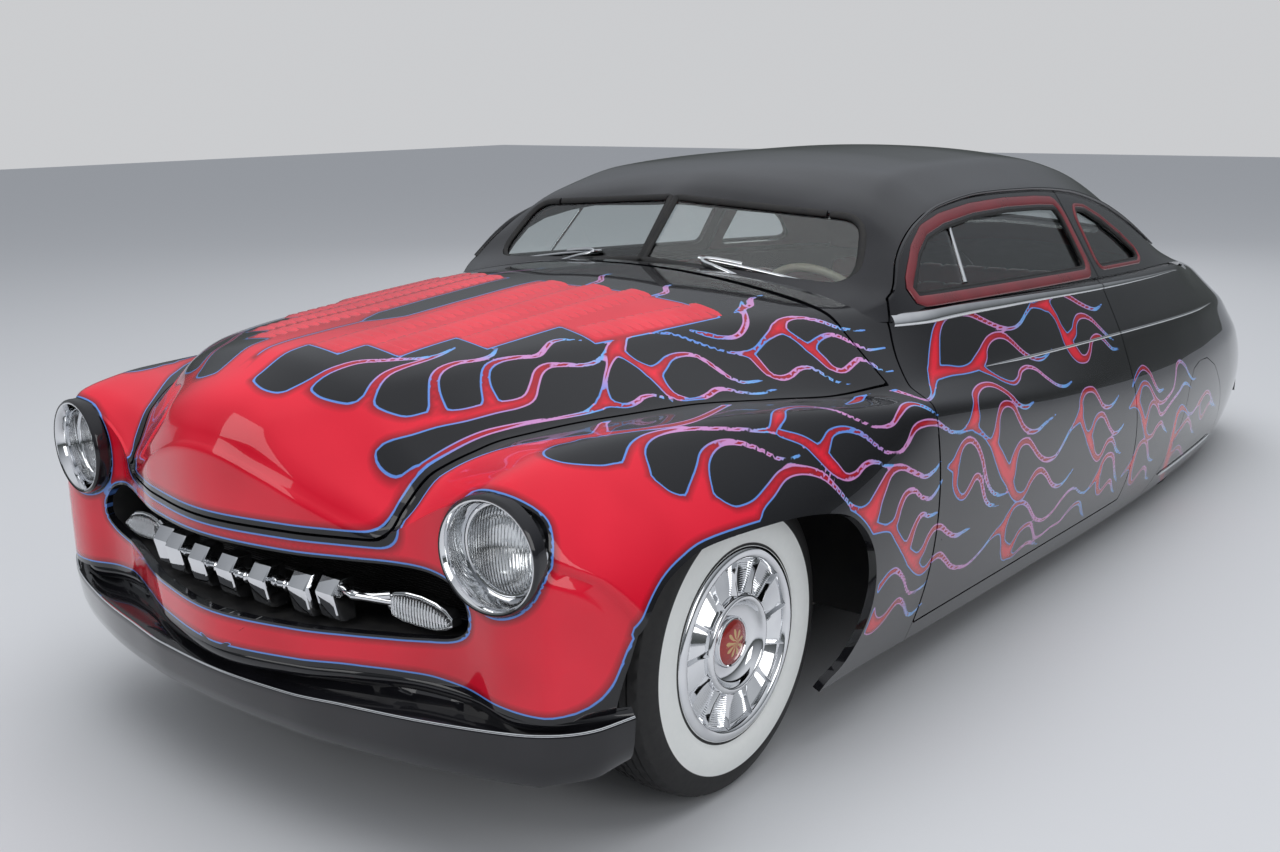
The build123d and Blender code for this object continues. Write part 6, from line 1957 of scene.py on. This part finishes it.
def pad(name, profile, half, swell, *nodes):
    """A cushion across the car: a side profile of (y, z) drawn out to +-half, swollen and channelled."""
    outline = softened(profile, 34.0)
    middle = outline.mean(axis=0)
    rings = []
    for x in np.linspace(-1, 1, 41):
        pull = 1 - 0.10 * max(0.0, abs(x) - 0.86) / 0.14
        rings.append([(x * (half - 12), *(middle + (p - middle) * pull)) for p in outline])
    piece = loft(name, rings, seat_maroon, angle=80)
    picked(piece)
    remesh = piece.modifiers.new("remesh", "REMESH")
    remesh.mode = "VOXEL"
    remesh.voxel_size = seat_voxel
    bpy.ops.object.modifier_apply(modifier="remesh")
    before = positions(piece)
    cloth = piece.modifiers.new("cloth", "CLOTH")
    cloth.settings.use_pressure = True
    cloth.settings.uniform_pressure_force = cloth_pressure
    cloth.settings.effector_weights.gravity = 0.0
    cloth.point_cache.frame_start, cloth.point_cache.frame_end = 1, cloth_frames
    for frame_number in range(1, cloth_frames + 1):
        bpy.context.scene.frame_set(frame_number)
    bpy.ops.object.modifier_apply(modifier="cloth")
    bpy.context.scene.frame_set(1)
    move = positions(piece) - before
    length = np.linalg.norm(move, axis=1)[:, None]
    move *= np.minimum(1.0, swell * MM / np.maximum(length, 1e-9))
    spots = before + move
    normals = positions(piece, "normal")
    across = np.abs((spots[:, X] / MM / channel_gap + 0.5) % 1 - 0.5) * 2
    seam = np.exp(-((1 - across) * channel_gap / 2 / seam_width) ** 2)
    face = np.clip(np.abs(normals[:, Y]) + np.abs(normals[:, Z]), 0, 1) * (np.abs(spots[:, X]) < (half - 60) * MM)
    spots -= normals * (seam * face * seam_depth * MM)[:, None]
    piece.data.vertices.foreach_set("co", spots.ravel())
    piece.data.update()
    smooth(piece, 70)
    put(piece, "seat_vinyl", "root", *nodes)


for name, node, half, cushion, back in (
        ("front", "front_bench", 672.0, [(-165, 300), (330, 300), (345, 452), (-130, 462), (-172, 430)],
         [(340, 330), (430, 330), (508, 835), (492, 852), (448, 852), (352, 480)]),
        ("rear", "rear_bench", 566.0, [(640, 400), (780, 400), (900, 512), (925, 540), (660, 496), (615, 460)],
         [(905, 530), (1000, 526), (1062, 838), (1006, 850), (955, 590)])):
    pad(name + "_seat_cushion", cushion, half, 12.0, node)
    pad(name + "_seat_back", back, half, 10.0)
for name, ends in (("front_seat_base", (-660, -150)), ("front_seat_base_right", (150, 660))):
    put(loft(name, [[(x, -140, 222), (x, 400, 222), (x, 400, 306), (x, -140, 306)] for x in ends], chassis_black),
        "chassis_paint")

# %% Dashboard dials
dial_cream = two_tone("dial_cream", (0.62, 0.57, 0.44), (0.70, 0.65, 0.52), 0.5, scale=30, bump=0.03)
dash_finish = two_tone("dash_finish", (0.16, 0.010, 0.016), (0.20, 0.014, 0.020), 0.25, coat=0.8, scale=12, bump=0.02)
wheel_ivory = two_tone("wheel_ivory", (0.66, 0.60, 0.47), (0.56, 0.50, 0.38), 0.3, coat=0.3, scale=22, bump=0.03)
needle_angle, mark_total, first_mark, mark_step = 160, 11, 210, 24      # degrees


def spoke(a):
    """Two directions in the car's cross plane: outwards at an angle, and across it."""
    return Vector((math.cos(a), 0, math.sin(a))), Vector((-math.sin(a), 0, math.cos(a)))


def dial_mark(shape, origin, degrees, lift, corners):
    """A flat shape on a dial, with corners (outwards, across)."""
    radial, across = spoke(math.radians(degrees))
    centre = Vector(origin) + Vector((0, lift, 0))
    shape.faces.new([shape.verts.new((centre + radial * r + across * s) * MM) for r, s in corners])


face = Matrix.Rotation(math.radians(90), 3, "Z")
for label, x, radius in (("speed", 370, 62), ("fuel", 235, 38), ("heat", 505, 38)):
    origin = (x, -891, 835)
    put(turned("dial_bezel_" + label, [(0, radius), (7, radius), (9, radius - 4), (7, radius - 8), (1, radius - 9),
                                       (0, radius - 9)], origin, chrome, face, steps=48), "chrome")
    put(turned("dial_face_" + label, [(0, radius - 8), (2, radius - 8), (2.2, 4), (2.2, 0), (0, 0)], origin,
               dial_cream, face, steps=40), "dash_paint")
    shape = bmesh.new()
    low, high = radius - 20, radius - 11
    for k in range(mark_total):
        dial_mark(shape, origin, first_mark - mark_step * k, 3.0, [(low, -0.9), (high, -0.9), (high, 0.9), (low, 0.9)])
    dial_mark(shape, origin, needle_angle, 5.0, [(-6, -2.2), (radius - 22, -0.5), (radius - 22, 0.5), (-6, 2.2)])
    put(finished("dial_marks_" + label, shape, inner_black, closed=False), "dash_paint")
put(bar("dash_trim", [(x, -888, 905) for x in np.linspace(-690, 690, 30)], domed(4, 7), (0, 1, 0), chrome), "chrome")
put(turned("horn_button", [(-2, 34), (6, 34), (12, 26), (15, 12), (16, 0), (-2, 0)], (370, -634, 864), chrome,
           Vector((0, 0.87, 0.5)).to_track_quat("X", "Z").to_matrix(), steps=40), "chrome")

# %% [markdown]
# ## Engine and running gear
# Under the hood sits a V engine: a cast block that narrows to the crankcase, finned covers, an
# air cleaner, side pipes and a fan. It stands where the CAD's plain engine block is.

# %% Engine block and gearbox
def v_section(y, grow):
    """The block's section at y, symmetrical about the car's centre."""
    half = [(95, 350), (120, 500), (276 * grow, 735), (286 * grow, 765), (205 * grow, 868), (90, 800), (70, 790)]
    return [(x, y, z) for x, z in half] + [(-x, y, z) for x, z in half[::-1]]


BLOCK = [(-1985, 0.94), (-1975, 1.0), (-1840, 1.0), (-1832, 0.98), (-1480, 0.98), (-1472, 1.0), (-1345, 1.0),
         (-1330, 0.94)]
put(loft("engine_core", [v_section(y, grow) for y, grow in BLOCK], cast_iron), "cast_iron", "root", "engine_block")
# y, half width, height of the middle, half height
GEARBOX = [(-1335, 235, 440, 235), (-1300, 232, 440, 232), (-1240, 205, 440, 205), (-1180, 59.8, 292, 96),
           (-800, 48.3, 292, 96), (-780, 44.16, 292, 96), (-600, 40.48, 292, 88), (-562, 27.6, 292, 60)]
turns = np.linspace(0, 2 * math.pi, 28, endpoint=False)
put(loft("gearbox_case", [[(wide * math.cos(a), y, z + tall * math.sin(a)) for a in turns]
                          for y, wide, z, tall in GEARBOX], cast_iron, angle=50), "cast_iron")

# %% Covers and side pipes
COVER_SECTION = [(-52, -4), (-52, 26), (-44, 40), (-24, 46), (24, 46), (44, 40), (52, 26), (52, -4)]
cover_slope = math.radians(42)
fin_total, fin_pitch, pipe_total, pipe_pitch = 7, 9, 4, 150
for side, label in SIDES:
    middle = Vector((side * 246, 0, 818))
    across = Vector((side * math.sin(cover_slope), 0, -math.cos(cover_slope)))
    up_way = Vector((side * math.cos(cover_slope), 0, math.sin(cover_slope)))
    rings = [[tuple(middle + across * (a * k) + up_way * (b * k) + Vector((0, y, 0))) for a, b in COVER_SECTION]
             for y, k in ((-1925, 0.75), (-1915, 1.0), (-1400, 1.0), (-1390, 0.75))]
    put(loft("valve_cover_" + label, rings, chrome), "chrome")
    for k in range(fin_total):
        foot = middle + across * (fin_pitch * (k - 3)) + up_way * 47
        fin = [tuple(foot + Vector((0, y, 0))) for y in np.linspace(-1895, -1420, 8)]
        put(bar("cover_fin_%s_%d" % (label, k), fin, oval(3.0, 1.8, 8), tuple(up_way), silvered), "chrome")
    for k in range(pipe_total):
        y = -1880 + pipe_pitch * k
        route = through_points([(side * 272, y, 735), (side * 318, y + 6, 715), (side * 340, y + 30, 660),
                                (side * 338, y + 60, 590)], False, 6)
        put(bar("side_pipe_%s_%d" % (label, k), route, oval(19, 19, 16), (0, 0.2, 1), steel_pipe), "exhaust_steel")
    log = through_points([(side * 338, -1900, 590), (side * 338, -1650, 580), (side * 330, -1400, 560),
                          (side * 300, -1280, 480), (side * 290, -1210, 300), (side * 300, -1190, 150)], False, 8)
    put(bar("side_log_" + label, log, oval(30, 30, 20), (side, 0, 0.2), steel_pipe), "exhaust_steel")

# %% Intake and air cleaner
rings = [[(x * k, y, z) for x, z in ((120, 800), (96, 862), (60, 890), (-60, 890), (-96, 862), (-120, 800))]
         for y, k in ((-1880, 0.7), (-1860, 1), (-1460, 1), (-1440, 0.7))]
put(loft("intake", rings, silvered), "chrome")
upright = Matrix.Rotation(math.radians(-90), 3, "Y")
put(turned("carburettor", [(0, 52), (12, 52), (14, 44), (40, 44), (44, 56), (58, 56), (58, 0), (0, 0)],
           (0, -1650, 886), steel_pipe, upright, steps=40), "cast_iron")
put(turned("air_cleaner", [(0, 0), (0, 60), (4, 150), (8, 158), (12, 154), (14, 146), (46, 146), (48, 154), (54, 160),
                           (60, 154), (66, 110), (69, 40), (70, 0)], (0, -1650, 942), chrome, upright), "chrome")
put(turned("air_cleaner_nut", [(0, 9), (6, 9), (9, 5), (14, 4), (14, 0), (0, 0)], (0, -1650, 1010), chrome, upright,
           steps=16), "chrome")

# %% Pulleys and fan
ahead = Matrix.Rotation(math.radians(-90), 3, "Z")
for name, x, z, radius in (("crank", 0, 470, 88), ("water", 0, 640, 70), ("dynamo", 190, 700, 46)):
    put(turned("pulley_" + name, [(0, 0), (0, radius), (6, radius), (10, radius - 9), (14, radius), (20, radius),
                                  (20, radius - 22), (26, 22), (40, 20), (40, 0)], (x, -1986, z), steel_pipe, ahead,
               steps=44), "cast_iron")
fan_blades, fan_reach, fan_pitch, fan_sheet = 5, 190, 0.42, 2.5
fan_centre = Vector((0, -2040, 640))
shape = bmesh.new()
for k in range(fan_blades):
    radial, across = spoke(2 * math.pi * k / fan_blades)
    rows = []
    for r in np.linspace(18, fan_reach, 8):
        wide = 14 + 26 * (r / fan_reach) ** 0.7
        rows.append([shape.verts.new((fan_centre + radial * r + across * s + Vector((0, fan_pitch * s + back, 0))) * MM)
                     for back, s in ((0, -wide), (0, 0), (0, wide), (fan_sheet, wide), (fan_sheet, 0),
                                     (fan_sheet, -wide))])
    bridge(shape, rows)
    shape.faces.new(rows[-1])
put(finished("fan_blades", shape, steel_pipe), "cast_iron")
put(turned("fan_hub", [(0, 0), (0, 30), (30, 30), (34, 24), (34, 0)], (0, -2020, 640), steel_pipe, ahead, steps=32),
    "cast_iron")

# %% Mouth liner
liner_wall, liner_rear_y, liner_centre = 2.0, -2243.0, (0, 0, 530.0)
half = np.array(MOUTH[1:-1], float)
outline = resampled(np.vstack([half, half[-2:0:-1] * (-1, 1)]), 20.0, -4.0)
front = nose_plan(outline[:, 0]) + 17.0
rings = [np.column_stack([outline[:, 0] * (1 - 0.03 * back), front * (1 - back) + liner_rear_y * back,
                          outline[:, 1]]) for back in (0.0, 0.35, 0.8, 1.0)]
sections = []
for k in range(len(outline) + 1):
    strip = np.array([ring[k % len(outline)] for ring in rings])
    away = (strip - liner_centre) * (1, 0, 1)
    outer = strip + away / np.linalg.norm(away, axis=1)[:, None] * liner_wall
    sections.append(np.vstack([strip, outer[::-1]]))
put(loft("mouth_liner", sections, inner_black, capped=False), "black_paint")

# %% [markdown]
# ## Finishes for what stays from the CAD
# The frame rails, axles and floors are already right in shape. They get undercoat, cast iron,
# bare pipe, carpet where a floor looks up, and a finned core for the radiator.

# %% CAD finishes
floor_finish, nodes, links, shader = new_material("floor_finish", (0.02, 0.02, 0.02), 0.8)
facing = nodes.new("ShaderNodeSeparateXYZ")
links.new(nodes.new("ShaderNodeNewGeometry").outputs["Normal"], facing.inputs["Vector"])
is_up = ranged(nodes, links, facing.outputs["Z"], 0.3, 0.5, 0.0, 1.0)
mask = uneven(nodes, links, shader, 260.0, 0.7)
pile = mixed(nodes, links, mask, (0.05, 0.004, 0.006), (0.16, 0.012, 0.018))
under = mixed(nodes, links, mask, (0.014, 0.014, 0.015), (0.034, 0.031, 0.029))
links.new(mixed(nodes, links, is_up, under, pile), shader.inputs["Base Color"])
links.new(ranged(nodes, links, is_up, 0, 1, 0.55, 0.95), shader.inputs["Roughness"])

radiator_core, nodes, links, shader = new_material("radiator_core", (0.02, 0.02, 0.021), 0.5, 0.4)
fins = texture(nodes, links, "Wave", 60)
fins.bands_direction = "Z"
bumped(nodes, links, shader, fins.outputs["Fac"], Distance=0.003)
links.new(mixed(nodes, links, fins.outputs["Fac"], (0.006, 0.006, 0.006), (0.035, 0.034, 0.033)),
          shader.inputs["Base Color"])

tank_steel = two_tone("tank_steel", (0.09, 0.09, 0.09), (0.14, 0.135, 0.13), 0.5, metal=0.7, scale=16, bump=0.15)
for finish, names in ((chassis_black, ("frame_rails", "front_arms", "rear_axle", "driveshaft")),
                      (cast_iron, ("knuckle_left", "knuckle_right")), (steel_pipe, ("exhaust",)),
                      (tank_steel, ("fuel_tank",)), (floor_finish, ("floor_pan", "rear_floor")),
                      (radiator_core, ("radiator_panel",)), (inner_black, ("firewall",)),
                      (chrome, ("rear_bumper",)), (dash_finish, ("dashboard",)), (wheel_ivory, ("steering_wheel",))):
    for name in names:
        for material_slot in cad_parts[name].material_slots:
            material_slot.material = finish
